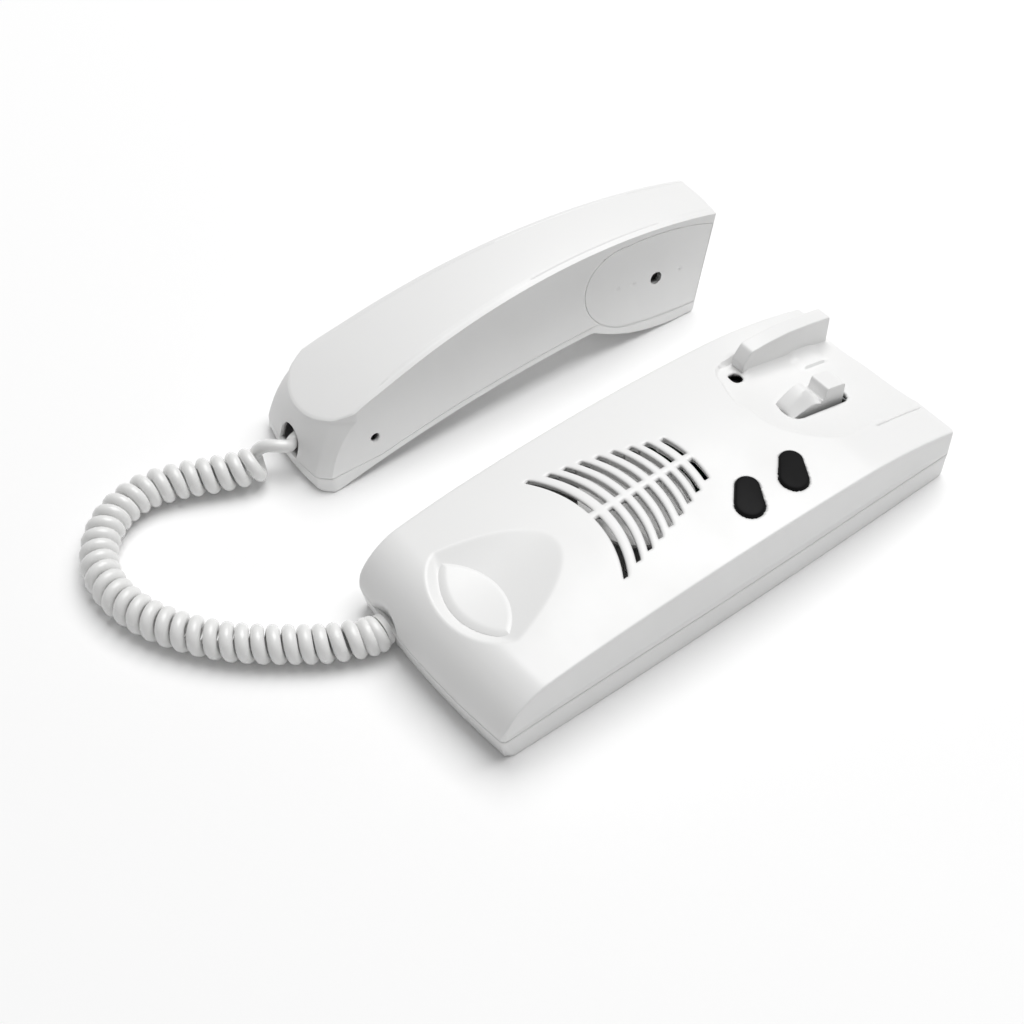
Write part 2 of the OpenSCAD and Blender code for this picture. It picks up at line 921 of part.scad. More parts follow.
// A side of the handset as a flat plane, tapered along it and leaning in
module on_side(side) {
    mirror([side < 0 ? 1 : 0, 0, 0])
        translate([hand_half, 0, 0])
            rotate([0, 0, hand_taper])
                rotate([0, -hand_draft, 0])
                    children();
}
module between_sides(i) {
    for (side = [-1, 1])
        on_side(side)
            translate([-i, -far / 2, -far / 2])
                cube([far, far, far]);
}

module mouth_end(i) {
    translate([0, mouth_back, 0])
        cylinder(h = 2 * tall, r1 = mouth_r - i, r2 = mouth_r - i - mouth_slope * 2 * tall, $fn = 128);
    translate([-hand_w, mouth_back, -past])
        cube([2 * hand_w, far, 2 * tall]);
}

module handset_form(i) {
    difference() {
        intersection() {
            above_inner(i);
            crowned_sector(
                [crest_y, hand_z - back_r], back_r, hand_crown, back_cross_r, back_half, back_depth,
                -asin((crest_y - 2 * hand_low) / back_r), asin((hand_high + 10 - crest_y) / back_r), i
            );
            mouth_end(i);
        }
        between_sides(i);
        translate([-hand_w, hand_l - ear_foot - i, 0])
            rotate([-ear_lean, 0, 0])
                translate([0, 0, -tall])
                    cube([2 * hand_w, far, 4 * tall]);
    }
}

// Places inside the handset
ear_y = lump_y - 15;
ear_r = 12.4;
ear_seat = 2;
ear_h = 8;
ear_z = 8;
gasket_t = 1;
mic_y = 9;
mic_r = 4.8;
mic_h = 5;
boot_r = 6.4;
boot_floor = 1;
boot_h = 6;
boot_z = inner_at(mic_y + boot_r) + hand_wall + gap;
ear_hole_r = 1.3;
ear_ring = 6;
ear_ring_holes = 6;
function ear_hole_at(k) =
    let (turn = 360 * k / ear_ring_holes)
        [ear_ring * cos(turn), ear_y + ear_ring * sin(turn)];
mic_hole_r = 0.8;
mic_holes = 3;
mic_pitch = 3;
hand_screw_y = [0.224 * hand_l, 0.588 * hand_l];
hand_boss_r = 3.4;
anchor_y = 15;
anchor_t = 2.5;
anchor_low = front_mouth_z + 5;
anchor_high = anchor_low + 9;
mouth_hole_r = 7.5;
mouth_hole_z = 13.5;
panel_at_y = hand_l - 41;
panel_at_z = 27;
panel_turn = -10.5;
panel_t = 1.1;
side_hole_at = [20, 16];
side_hole_r = 1.5;
panel_hole_at = 17.5;
panel_hole_r = 2;
panel_pips = [[0.5, 3], [5.5, 3], [31, 1]];
pip_r = 0.6;

module panel_shape(grow) {
    translate([panel_at_y, panel_at_z])
        rotate(panel_turn) {
            circle(panel_r + grow);
            translate([0, -panel_r - grow])
                square([hand_l, 2 * (panel_r + grow)]);
        }
}
module panel_block(side, grow, depth) {
    on_side(side)
        translate([-depth, 0, 0])
            rotate([90, 0, 90])
                linear_extrude(depth + past)
                    panel_shape(grow);
}

// Back shell: the handle's back and sides, with the cord's arch in its mouth end
module handset_back_shell() {
    color(shell_white)
        place_handset()
            difference() {
                union() {
                    difference() {
                        intersection() {
                            handset_form(0);
                            above_parting(parting_gap);
                        }
                        handset_form(hand_wall);
                    }
                    intersection() {
                        handset_form(hand_wall / 2);
                        above_parting(parting_gap);
                        for (y = hand_screw_y)
                            hole([0, y], hand_boss_r, parting_at(y) + gap, 2 * tall);
                    }
                }
                for (y = hand_screw_y)
                    hole([0, y], screw_hole, 0, parting_at(y) + 14);
                for (side = [-1, 1]) {
                    panel_block(side, gap / 2, panel_t);
                    on_side(side)
                        translate([-2 * hand_wall, side_hole_at[0], side_hole_at[1]])
                            rotate([0, 90, 0])
                                cylinder(h = 3 * hand_wall, r = side_hole_r);
                }
                translate([0, mouth_back - mouth_r - past, mouth_hole_z])
                    rotate([-90, 0, 0])
                        cylinder(h = anchor_y + mouth_r - mouth_back - past, r = mouth_hole_r);
                translate([-mouth_hole_r, mouth_back - mouth_r - past, 0])
                    cube([2 * mouth_hole_r, anchor_y + mouth_r - mouth_back - past, mouth_hole_z]);
            }
}

// Front shell: the inner face, with the receiver's seat and the sound holes
module handset_front_shell() {
    color(shell_white)
        place_handset()
            difference() {
                intersection() {
                    handset_form(0);
                    union() {
                        difference() {
                            translate([-hand_w, hand_low, 0])
                                cube([2 * hand_w, hand_high, tall]);
                            handset_form(hand_wall);
                            above_parting(0);
                        }
                        difference() {
                            hole([0, ear_y], ear_r, 0, ear_z - gasket_t);
                            hole([0, ear_y], ear_r - ear_seat, -past, ear_z);
                        }
                        difference() {
                            hole([0, mic_y], boot_r, 0, boot_z);
                            hole([0, mic_y], mic_r, -past, boot_z + past);
                        }
                        for (y = hand_screw_y)
                            hole([0, y], hand_boss_r, inner_at(y), parting_at(y));
                    }
                }
                for (y = hand_screw_y) {
                    hole([0, y], screw_r + gap, 0, tall);
                    hole([0, y], head_rad + gap, 0, inner_at(y) + head_t + gap);
                }
                hole([0, ear_y], ear_hole_r, -past, ear_z);
                for (k = [0:ear_ring_holes - 1])
                    hole(ear_hole_at(k), ear_hole_r, -past, ear_z);
                for (k = [0:mic_holes - 1])
                    hole([(k - 1) * mic_pitch, mic_y], mic_hole_r, -past, boot_z);
            }
}

module ear_panel(side) {
    color(shell_white)
        place_handset()
            difference() {
                intersection() {
                    handset_form(0);
                    panel_block(side, -gap / 2, panel_t - gap / 2);
                }
                on_side(side)
                    translate([-2 * panel_t, panel_at_y, panel_at_z])
                        rotate([90, 0, 90])
                            rotate(panel_turn) {
                                linear_extrude(4 * panel_t)
                                    translate([panel_hole_at, 0])
                                        circle(panel_hole_r);
                                linear_extrude(4 * panel_t)
                                    for (at = panel_pips)
                                        translate(at)
                                            circle(pip_r);
                            }
            }
}
module ear_panel_right() { ear_panel(1); }
module ear_panel_left() { ear_panel(-1); }

module receiver_gasket() {
    color(rubber_grey)
        place_handset()
            difference() {
                hole([0, ear_y], ear_r, ear_z - gasket_t, ear_z);
                hole([0, ear_y], ear_r - ear_seat, -past, ear_z + past);
            }
}
module receiver_capsule() {
    color(dark_grey)
        place_handset()
            difference() {
                union() {
                    hole([0, ear_y], ear_r, ear_z, ear_z + ear_h);
                    hole([0, ear_y], ear_r / 2, ear_z + ear_h, ear_z + ear_h + skin);
                }
                for (k = [0:ear_ring_holes - 1])
                    hole(ear_hole_at(k), ear_hole_r, -past, ear_z + skin);
            }
}
module microphone_boot() {
    color(rubber_grey)
        place_handset()
            difference() {
                hole([0, mic_y], boot_r, boot_z, boot_z + boot_h);
                hole([0, mic_y], mic_r + running, boot_z + boot_floor, boot_z + boot_h + past);
                hole([0, mic_y], mic_r / 2, -past, boot_z + boot_h);
            }
}
module microphone_capsule() {
    color(steel)
        place_handset()
            hole([0, mic_y], mic_r, boot_z + boot_floor, boot_z + boot_floor + mic_h);
}
module handset_screws() {
    color(steel)
        place_handset()
            for (y = hand_screw_y)
                translate([0, y, inner_at(y) + head_t + gap])
                    rotate([180, 0, 0])
                        screw(screw_r, parting_at(y) + 8 - inner_at(y) - head_t, head_rad, head_t);
}

// A plate across the mouth end that holds the cord's end
module cord_anchor() {
    color(shell_white)
        place_handset()
            intersection() {
                handset_form(hand_wall + gap);
                translate([-hand_w, anchor_y, anchor_low])
                    cube([2 * hand_w, anchor_t, anchor_high - anchor_low]);
            }
}

// Cord route: from the grommet round on the table to the plate in the mouth end
route = [
    [-22, -104, 7.4], [-22.5, -108, 7.2], [-28, -119, 7], [-35, -129, 7], [-43, -139, 7], [-52, -148, 7],
    [-63, -156, 7], [-75, -162, 7], [-88, -165, 7], [-101, -164, 7], [-112, -158, 7], [-120, -148, 7],
    [-123, -135, 7], [-120, -122, 7.4], [-115, -110, 8.6], [-111, -98, 11],
    [-109.6, -86, 14], [-108.4, -72, 16]
];
curl_r = (curl_d - wire_d) / 2;
curl_rings = 8;
curl_from = 1;
curl_to = 16.3;
ramp = 0.5;

// A smooth curve through the route's points, at t counted in points
function route_point(k) = route[max(0, min(len(route) - 1, k))];
function route_at(t) =
    let (
        k = min(floor(t), len(route) - 2),
        f = t - k,
        a = route_point(k - 1), b = route_point(k), c = route_point(k + 1), d = route_point(k + 2)
    ) b + f / 2 * (c - a + f * (2 * a - 5 * b + 4 * c - d + f * (3 * (b - c) + d - a)));
function route_way(t) = unit(route_at(min(t + 0.01, len(route) - 1)) - route_at(max(t - 0.01, 0)));
function eased(f) = let (g = max(0, min(1, f))) g * g * (3 - 2 * g);
function curl_at(t) =
    let (
        way = route_way(t),
        side = unit(cross([0, 0, 1], way)),
        up = cross(way, side),
        a = 360 * curls * (t - curl_from) / (curl_to - curl_from),
        r = curl_r * eased((t - curl_from) / ramp) * eased((curl_to - t) / ramp)
    ) route_at(t) + r * (cos(a) * side + sin(a) * up);
curl_steps = curls * curl_rings;
exit_face = foot_y(exit_x, 0) - grommet_out - grommet_off;
hand_way = [-sin(hand_turn), cos(hand_turn), 0];
anchor_face = hand_at + anchor_y * hand_way + [0, 0, route[len(route) - 1][2]];
cord_path = concat(
    [[exit_x, exit_face, exit_z], [exit_x, exit_face - wire_d, exit_z]],
    [for (k = [0:curl_steps]) curl_at(curl_from + (curl_to - curl_from) * k / curl_steps)],
    [
        anchor_face - wire_d * hand_way,
        anchor_face
    ]
);

// Least distance from the wire to itself, three wires or more apart along it
function way_between(path, k, j) = k == j ? 0 : norm(path[k + 1] - path[k]) + way_between(path, k + 1, j);
function least_gap(path) = min([
    for (k = [0:len(path) - curl_rings])
        for (j = [k + 2:min(k + 2 * curl_rings, len(path) - 1)])
            if (way_between(path, k, j) > 3 * wire_d) norm(path[k] - path[j])
]) - wire_d;
module curly_cord() {
    echo(curl_gap = least_gap(cord_path));
    color(shell_white)
        swept(cord_path, wire_d / 2, 6);
}

back_plate();
front_cover();
badge_plate();
cover_screw();
cord_grommet();
curly_cord();
circuit_board();
board_screws();
terminal_block();
terminal_screws();
capacitors();
hook_switch();
hook_plunger();
door_switch();
door_plunger();
aux_switch();
aux_plunger();
ringer_frame();
ringer_magnet();
ringer_cone();
door_button();
aux_button();
hook_lever();
lever_pin();
lever_spring();
handset_back_shell();
handset_front_shell();
ear_panel_right();
ear_panel_left();
receiver_capsule();
receiver_gasket();
microphone_capsule();
microphone_boot();
cord_anchor();
handset_screws();
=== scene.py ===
import json
import math
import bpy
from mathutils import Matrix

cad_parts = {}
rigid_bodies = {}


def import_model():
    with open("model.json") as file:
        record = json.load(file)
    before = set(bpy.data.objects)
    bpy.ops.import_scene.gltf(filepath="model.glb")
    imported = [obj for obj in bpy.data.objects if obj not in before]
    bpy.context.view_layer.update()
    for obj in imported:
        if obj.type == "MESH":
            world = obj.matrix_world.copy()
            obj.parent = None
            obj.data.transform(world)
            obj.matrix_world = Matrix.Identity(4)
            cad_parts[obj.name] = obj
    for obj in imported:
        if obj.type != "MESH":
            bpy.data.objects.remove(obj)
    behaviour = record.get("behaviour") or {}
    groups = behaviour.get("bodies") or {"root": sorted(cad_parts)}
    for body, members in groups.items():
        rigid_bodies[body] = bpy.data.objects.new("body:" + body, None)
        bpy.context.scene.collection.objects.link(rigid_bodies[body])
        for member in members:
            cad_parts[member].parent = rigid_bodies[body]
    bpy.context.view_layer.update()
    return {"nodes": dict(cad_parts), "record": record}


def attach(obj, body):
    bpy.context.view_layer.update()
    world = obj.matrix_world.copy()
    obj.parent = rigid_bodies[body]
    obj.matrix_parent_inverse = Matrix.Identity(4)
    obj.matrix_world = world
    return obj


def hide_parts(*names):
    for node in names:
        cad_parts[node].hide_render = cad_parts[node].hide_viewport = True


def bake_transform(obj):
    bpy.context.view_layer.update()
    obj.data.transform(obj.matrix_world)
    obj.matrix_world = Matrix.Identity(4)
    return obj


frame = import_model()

from types import SimpleNamespace as sizes
import bpy
import numpy as np
from mathutils import Matrix, Vector

mm = 0.001               # sizes below are in millimetres unless they say metres
scene = bpy.context.scene


# 0 to 1 along a smooth S as t goes from 0 to 1
def ease(t):
    t = np.clip(t, 0, 1)
    return t * t * (3 - 2 * t)


# the lower of two heights, with a rounded join about k wide
def softMin(a, b, k):
    return 0.5 * (a + b - np.sqrt((a - b) ** 2 + k * k))


# how deep d reaches below a floor: nothing above it, with a start rounded over k
def softDepth(d, k):
    return np.maximum(0.5 * (d + np.sqrt(d ** 2 + k ** 2)) - 0.5 * k, 0)


# vectors of length one
def unit(v):
    return v / np.linalg.norm(v, axis=1, keepdims=True)


# quads of a grid numbered row by row, wrapped across its columns when asked
def gridFaces(rows, cols, wrap=False):
    r = np.arange(rows - 1)[:, None]
    c = np.arange(cols if wrap else cols - 1)[None, :]
    a, b = r * cols + c, r * cols + (c + 1) % cols
    return np.stack([a, b, b + cols, a + cols], -1).reshape(-1, 4)


# faces of a tube of rings with both ends closed, turned over when asked
def tubeFaces(rows, cols, over=False):
    ends = [list(range(cols - 1, -1, -1)), list(range((rows - 1) * cols, rows * cols))]
    faces = gridFaces(rows, cols, wrap=True).tolist() + ends
    return [f[::-1] for f in faces] if over else faces


# a mesh object from points in millimetres and lists of faces, smooth but for edges sharper than the angle
def putMesh(name, points, faces, body, replaces=(), sharp=50):
    mesh = bpy.data.meshes.new(name)
    mesh.from_pydata((np.asarray(points, float) * mm).tolist(), [], [list(map(int, f)) for f in faces])
    mesh.polygons.foreach_set("use_smooth", np.ones(len(mesh.polygons), bool))
    mesh.set_sharp_from_angle(angle=math.radians(sharp))
    obj = bpy.data.objects.new(name, mesh)
    scene.collection.objects.link(obj)
    if body:
        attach(obj, body)
    if replaces:
        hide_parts(*replaces)
    return obj


# a cap grid with walls: each edge point bends over its corner on a quadratic curve and runs straight to its rim
# the walls go round the cap's border loop
# flat is the share of a straight chamfer in the bend, and deeper how much further it reaches down than across
def capWithWalls(cap, corner, rim, roundSteps=5, wallSteps=4, flat=0.0, deeper=1.0):
    rows, cols = cap.shape[:2]
    loop = capLoop(rows, cols)
    edge = cap.reshape(-1, 3)[loop]
    down = np.linalg.norm(rim - corner, axis=1, keepdims=True)
    reach = np.linalg.norm(edge - corner, axis=1, keepdims=True)
    start = corner + (rim - corner) * np.minimum(0.9, deeper * reach / np.maximum(down, 1e-6))
    t = (np.arange(1, roundSteps + 1) / roundSteps)[:, None, None]
    bend = (1 - t) ** 2 * edge + 2 * t * (1 - t) * corner + t * t * start
    bend = (1 - flat) * bend + flat * ((1 - t) * edge + t * start)
    w = (np.arange(1, wallSteps + 1) / wallSteps)[:, None, None]
    rings = np.concatenate([bend, start + (rim - start) * w])
    ringIndex = rows * cols + np.arange(rings.shape[0] * rings.shape[1]).reshape(rings.shape[:2])
    now = np.vstack([loop[None, :], ringIndex])
    after = np.roll(now, -1, axis=1)
    quads = np.stack([now[:-1], now[1:], after[1:], after[:-1]], -1).reshape(-1, 4)
    return np.vstack([cap.reshape(-1, 3), rings.reshape(-1, 3)]), gridFaces(rows, cols), quads, rings


# the border of a grid: up the last column, back along the last row, down the first column and along the first row
def capLoop(rows, cols):
    index = np.arange(rows * cols).reshape(rows, cols)
    return np.concatenate([index[:, -1], index[-1, -2::-1], index[-2::-1, 0], index[0, 1:-1]])


# that border with each point's row and column, and whether it lies on a side, the first row or the last row
def borderOf(shape):
    loop = capLoop(*shape)
    row, col = np.divmod(loop, shape[1])
    return loop, row, col, (col == 0) | (col == shape[1] - 1), row == 0, row == shape[0] - 1


# points near a distance's zero line are slid onto it, so that an edge cut along it is clean
def snapTo(a, b, distance, width):
    d, h = distance(a, b), 0.01
    ga, gb = (distance(a + h, b) - d) / h, (distance(a, b + h) - d) / h
    size = np.maximum(ga * ga + gb * gb, 1e-6)
    near = np.abs(d) < width
    return np.where(near, a - d * ga / size, a), np.where(near, b - d * gb / size, b)


# lines of a grid mirrored about its middle line
def mirrored(right):
    return np.concatenate([-right[:0:-1], right])


def middles(points, faces):
    return points[faces].mean(1).T


# the kept faces and only the points that they use
def dropFaces(points, faces, keep):
    faces = faces[keep]
    used = np.unique(faces)
    renumber = np.zeros(len(points), int)
    renumber[used] = np.arange(len(used))
    return points[used], renumber[faces]


# the kept faces of a cap with all the faces of its walls
def keepCap(points, capFaces, wallFaces, keep):
    return dropFaces(points, np.vstack([capFaces, wallFaces]), np.concatenate([keep, np.ones(len(wallFaces), bool)]))


# a wall of even thickness under a surface
def thicken(obj, thickness):
    mod = obj.modifiers.new("wall", "SOLIDIFY")
    mod.thickness = thickness * mm
    mod.offset = -1


# a bevel along every edge sharper than the angle
def roundEdges(obj, width, segments, angle):
    mod = obj.modifiers.new("edges", "BEVEL")
    mod.width = width * mm
    mod.segments = segments
    mod.limit_method = "ANGLE"
    mod.angle_limit = math.radians(angle)


# camera: azimuth and elevation of the photograph's view, aimed at a point on the table
view = sizes(
    azimuth=52.27, elevation=49.62, aim=(-41.2, -34.0, 0.0), distance=631.8, lens=62.74, sensor=36.0, near=10.0)


def setCamera():
    a, e = math.radians(view.azimuth), math.radians(view.elevation)
    back = Vector((math.sin(a) * math.cos(e), -math.cos(a) * math.cos(e), math.sin(e)))
    right = Vector((math.cos(a), math.sin(a), 0))
    pose = Matrix((right, back.cross(right), back)).transposed().to_4x4()
    pose.translation = (Vector(view.aim) + back * view.distance) * mm
    lensData = bpy.data.cameras.new("camera")
    lensData.lens = view.lens
    lensData.sensor_width = view.sensor
    lensData.clip_start = view.near * mm
    cam = bpy.data.objects.new("camera", lensData)
    cam.matrix_world = pose
    scene.collection.objects.link(cam)
    scene.camera = cam


setCamera()
print("camera set")

# curly cord: a helix round a smooth route on the table, from the base's foot end into the handset's mouth end
cord = sizes(
    route=[  # metres
        (-0.022, -0.104, 0.0074), (-0.0225, -0.108, 0.0072), (-0.028, -0.119, 0.007), (-0.035, -0.129, 0.007),
        (-0.043, -0.139, 0.007), (-0.052, -0.148, 0.007), (-0.063, -0.156, 0.007), (-0.075, -0.162, 0.007),
        (-0.088, -0.165, 0.007), (-0.101, -0.164, 0.007), (-0.112, -0.158, 0.007), (-0.120, -0.148, 0.007),
        (-0.123, -0.135, 0.007), (-0.120, -0.122, 0.007), (-0.1145, -0.110, 0.0072), (-0.1095, -0.098, 0.0082),
        (-0.1080, -0.086, 0.0108), (-0.1078, -0.072, 0.0145)],
    wire=4.7, outside=13.6, curls=37, start=0.15, dense=15.25, to=16.35, tailCurls=0.5,
    tailSteps=30, tailShrink=0.3, ramp=0.3, nudge=0.01, steps=18, sides=14,
    exit=(-22, -103.744, 7.4), anchor=(-108.245, -63.053, 16.0), handWay=(0.08368, 0.99649, 0))


# a smooth curve through the route's points, t counted in points
def routeAt(t):
    points = np.array(cord.route) / mm
    k = np.clip(np.floor(t).astype(int), 0, len(points) - 2)
    f = (t - k)[:, None]
    a, b, c, d = [points[np.clip(k + i, 0, len(points) - 1)] for i in (-1, 0, 1, 2)]
    return b + f / 2 * (c - a + f * (2 * a - 5 * b + 4 * c - d + f * (3 * (b - c) + d - a)))


# helix: the route's point plus a radius turning in the plane across the route, growing from nothing at both ends
def cordPath():
    first, dense, last = cord.start, cord.dense, cord.to
    t = np.concatenate([np.linspace(first, dense, cord.curls * cord.steps + 1),
                        np.linspace(dense, last, cord.tailSteps + 1)[1:]])
    way = unit(routeAt(np.minimum(t + cord.nudge, len(cord.route) - 1)) - routeAt(t - cord.nudge))
    side = unit(np.cross((0, 0, 1), way))
    tail = np.clip((t - dense) / (last - dense), 0, 1)
    turn = 2 * np.pi * (cord.curls * np.minimum((t - first) / (dense - first), 1) + cord.tailCurls * tail)
    radial = np.cos(turn)[:, None] * side + np.sin(turn)[:, None] * np.cross(way, side)
    radius = (cord.outside - cord.wire) / 2 * ease((t - first) / cord.ramp) * ease((last - t) / cord.ramp)
    curl = routeAt(t) + (radius * (1 - cord.tailShrink * tail))[:, None] * radial
    exitAt, anchor, handWay = map(np.array, (cord.exit, cord.anchor, cord.handWay))
    head = exitAt - np.outer((0, 0.03, 0.06), (0, cord.wire, 0))
    toAnchor = anchor - np.outer((1, 0.5, 0), handWay * cord.wire)
    out = np.vstack([np.repeat(radial[:1], len(head), 0), radial, np.repeat(radial[-1:], len(toAnchor), 0)])
    return np.vstack([head, curl, toAnchor]), out


# tube: a circle carried along the path, its first spoke along the curl's own radius
def makeCord():
    path, out = cordPath()
    along = unit(np.gradient(path, axis=0))
    spoke = unit(out - (out * along).sum(1, keepdims=True) * along)
    across = np.cross(along, spoke)
    angle = 2 * np.pi * np.arange(cord.sides) / cord.sides
    ring = np.cos(angle)[None, :, None] * spoke[:, None] + np.sin(angle)[None, :, None] * across[:, None]
    points = (path[:, None] + cord.wire / 2 * ring).reshape(-1, 3)
    faces = tubeFaces(len(path), cord.sides)
    obj = putMesh("cordCurls", points, faces, None, ["curly_cord"], 60)
    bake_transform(obj)


makeCord()
print("cord made")

# cover of the base: a crowned skin with its seats, slots and openings
cover = sizes(
    halfLength=100.0, halfWidth=41.0, sideBow=1.1, footBow=2.6, footCorner=2.2, headCorner=1.6, footFrom=-100.3,
    partingZ=12.8, footDrop=1.4, headDrop=0.8, dropFrom=50.0, edgeZ=33.6, crown=3.0, flatFrom=55.0, flatRun=22.0,
    midRadius=800.0, midHalf=55.0, headRadius=180.0, footRadius=375.0, footRoll=17.0, rollZ=11.6, fillet=0.7,
    leftFillet=1.8, wall=1.8, grilleWall=3.6)
# its grid: where rows bend with the foot and the slots, its outermost lines, and how edges are cut along it
coverGrid = sizes(
    bowFrom=-81.0, bowRun=21.0, dropFrom=-61.0, dropTo=10.5, dropRun=27.0, edgeX=39.0, lastX=39.7, stretchFrom=30.0,
    stretch=9.7, cornerX=39.5, snap=0.38, cut=-0.03, lip=0.55, footBend=0.3, sideBend=0.15, insetRun=6.0,
    insetLeast=0.2, thickX=29.0, thickY=(-42.0, 13.0))
seat = sizes(
    x=-1.25, z=35.57, fromY=40.5, slope=0.245, right=140.0, left=2000.0, leftDrop=1.3, leftRun=16.0, soft=0.25,
    step=0.3, startY=36.0, edgeY=38.5, edgeBend=0.0115, lobeX=-20.6, lobeY=50.0, lobe=7.2, slitX=24.8,
    slitY=(74.0, 98.8), slit=0.25, slitDeep=0.9, slitFade=(1.5, 1.0), ledgeX=-13.0, ledgeEnd=-24.0,
    ledgeY=(75.0, 91.0), ledge=1.1, ledgeSide=0.4, ledgeFade=(4.0, 5.0), leftReach=0.1, leftFade=0.5, rightFade=0.4)
opening = sizes(x=2.8, y=65.7, halfX=5.4, halfY=14.7, corner=4.5, deep=0.5, reach=0.35, fade=0.8)
screwHole = sizes(x=-20.6, y=50.0, halfX=2.5, halfY=2.5, corner=1.9, deep=0.6, reach=0.2, fade=0.6)
finFoot = sizes(x=-24.0, y=75.75, halfX=2.6, halfY=19.75, corner=0.0, fillet=4.6, rise=2.2)
scoop = sizes(
    apexY=-48.0, slope=0.27, radius=52.0, soft=0.2, collarSlope=0.55, collarReach=9.0, collarGap=0.2, collarSoft=0.4,
    collarY=-82.0, collarFade=6.0, collarDrop=4.0)
badge = sizes(
    y=-81.0, half=19.2, upper=22.0, lower=26.4, z=28.5, tilt=0.07, bend=100.0, thick=1.0, roll=1.3, rollWidth=3.2,
    inset=0.25, flare=0.1, sag=0.08, tip=0.06, rows=91, cols=45)
buttons = sizes(
    places=[(25.3, 33.5), (25.3, 13.5)], names=["door", "aux"], turn=-36.0, low=-4.3, high=3.3,
    big=5.2, small=4.2, rise=1.3, gap=0.2, lip=0.25, lipReach=0.3, lipFade=0.4, snap=0.3,
    share=[0.02, 0.2, 0.4, 0.55, 0.7, 0.8, 0.87, 0.92, 0.96, 0.985, 1.0, 1.0, 1.0],
    lift=[1.0, 0.99, 0.97, 0.94, 0.89, 0.84, 0.78, 0.7, 0.58, 0.42, 0.15, -0.6, -1.4])
grille = sizes(
    centres=[8.7, 3.5, -1.2, -6.0, -11.0, -16.0, -21.0, -26.2, -32.0],
    halves=[11.2, 13.6, 15.4, 17.4, 19.2, 20.6, 22.1, 23.5, 25.6],
    spine=1.6, half=0.5, radius=46.0, reach=28.0, lipRows=[-1.7, -1.3, -0.9, 0.9, 1.3, 1.7],
    lipHalf=1.55, lipFade=0.65, lipEnd=0.5, lipSpine=1.0, endFade=0.6)
cordHood = sizes(x=-22.0, z=9.0, radius=8.5, deep=2.6, toY=-90.0)


# half width of the base at y: a bowed side less the corner arcs at both ends
def wallX(y):
    bowed = cover.halfWidth - cover.sideBow * (y / cover.halfLength) ** 2
    bowed = bowed - cornerCut(cover.halfLength - y, cover.headCorner)
    return bowed - cornerCut(y - cover.footFrom, cover.footCorner)


# how far a corner arc of radius r has left the wall, d short of the end
def cornerCut(d, r):
    return r - np.sqrt(r * r - np.clip(r - d, 0, r) ** 2)


# height of the line between cover and tray: level, curving down a little towards both ends
def splitZ(y):
    start = cover.dropFrom
    foot, head = [np.clip((way * y - start) / (cover.halfLength - start), 0, 1) ** 2 for way in (-1, 1)]
    return cover.partingZ - cover.footDrop * foot - cover.headDrop * head


# foot end: a parabola across, bowed out in the middle
def footY(x):
    return -cover.halfLength - cover.footBow * (1 - (x / cover.halfWidth) ** 2)


# ridge line: one wide arc in the middle and a tighter tangent arc towards each end
def ridgeZ(y):
    big, half = cover.midRadius, cover.midHalf
    s = half / big
    joinZ = cover.edgeZ - big + math.sqrt(big * big - half * half)

    def endArc(r, d):
        return joinZ - r * math.sqrt(1 - s * s) + np.sqrt(np.maximum(r * r - (d - half + r * s) ** 2, 1))
    z = cover.edgeZ - big + np.sqrt(big * big - np.clip(y, -half, half) ** 2)
    z = np.where(y > half, endArc(cover.headRadius, y), z)
    return np.where(y < -half, endArc(cover.footRadius, -y), z) + cover.crown


# bare top: the ridge less a crown across that flattens at the cradle end, rolled down at the foot on an ellipse
def bareTop(x, y):
    flatter = cover.crown * ease((y - cover.flatFrom) / cover.flatRun)
    top = ridgeZ(y) - flatter - (cover.crown - flatter) * (x / cover.halfWidth) ** 2
    share = np.clip((cover.footRoll - y + footY(x)) / cover.footRoll, 0, 1)
    return cover.rollZ + (top - cover.rollZ) * np.sqrt(1 - share * share)


# signed distance in plan to a box with round corners, negative inside
def boxDistance(x, y, box):
    r = box.corner
    qx, qy = np.abs(x - box.x) - box.halfX + r, np.abs(y - box.y) - box.halfY + r
    return np.hypot(np.maximum(qx, 0), np.maximum(qy, 0)) + np.minimum(np.maximum(qx, qy), 0) - r


# earpiece seat: a trough sloping down to the cradle end, rounder on its right than on its left
def seatZ(x, y):
    dx = x - seat.x
    left = dx * dx / (2 * seat.left) - seat.leftDrop * ease(-dx / seat.leftRun)
    return seat.z - seat.slope * (y - seat.fromY) + np.where(dx > 0, dx * dx / (2 * seat.right), left)


# how far each of the badge's two arcs has its centre beyond the line through the tips
def badgeOff():
    return [math.sqrt(r ** 2 - badge.half ** 2) for r in (badge.upper, badge.lower)]


# almond: the greater of the distances to its two arcs
def badgeDistance(x, y):
    up, low = badgeOff()
    dy = y - badge.y
    return np.maximum(np.hypot(x, dy + up) - badge.upper, np.hypot(x, dy - low) - badge.lower)


# egg: a capsule whose radius grows from its small end to its big end
def eggDistance(x, y, place):
    a = math.radians(buttons.turn)
    px = (x - place[0]) * math.cos(a) + (y - place[1]) * math.sin(a)
    py = (y - place[1]) * math.cos(a) - (x - place[0]) * math.sin(a)
    low, run = buttons.low, buttons.high - buttons.low
    t = np.clip((px - low) / run, 0, 1)
    return np.hypot(px - low - t * run, py) - buttons.small - t * (buttons.big - buttons.small)


# badge's face: a tilted plane, bent up a little across
def badgeTop(x, y):
    return badge.z + badge.tilt * (y - badge.y) + x * x / (2 * badge.bend)


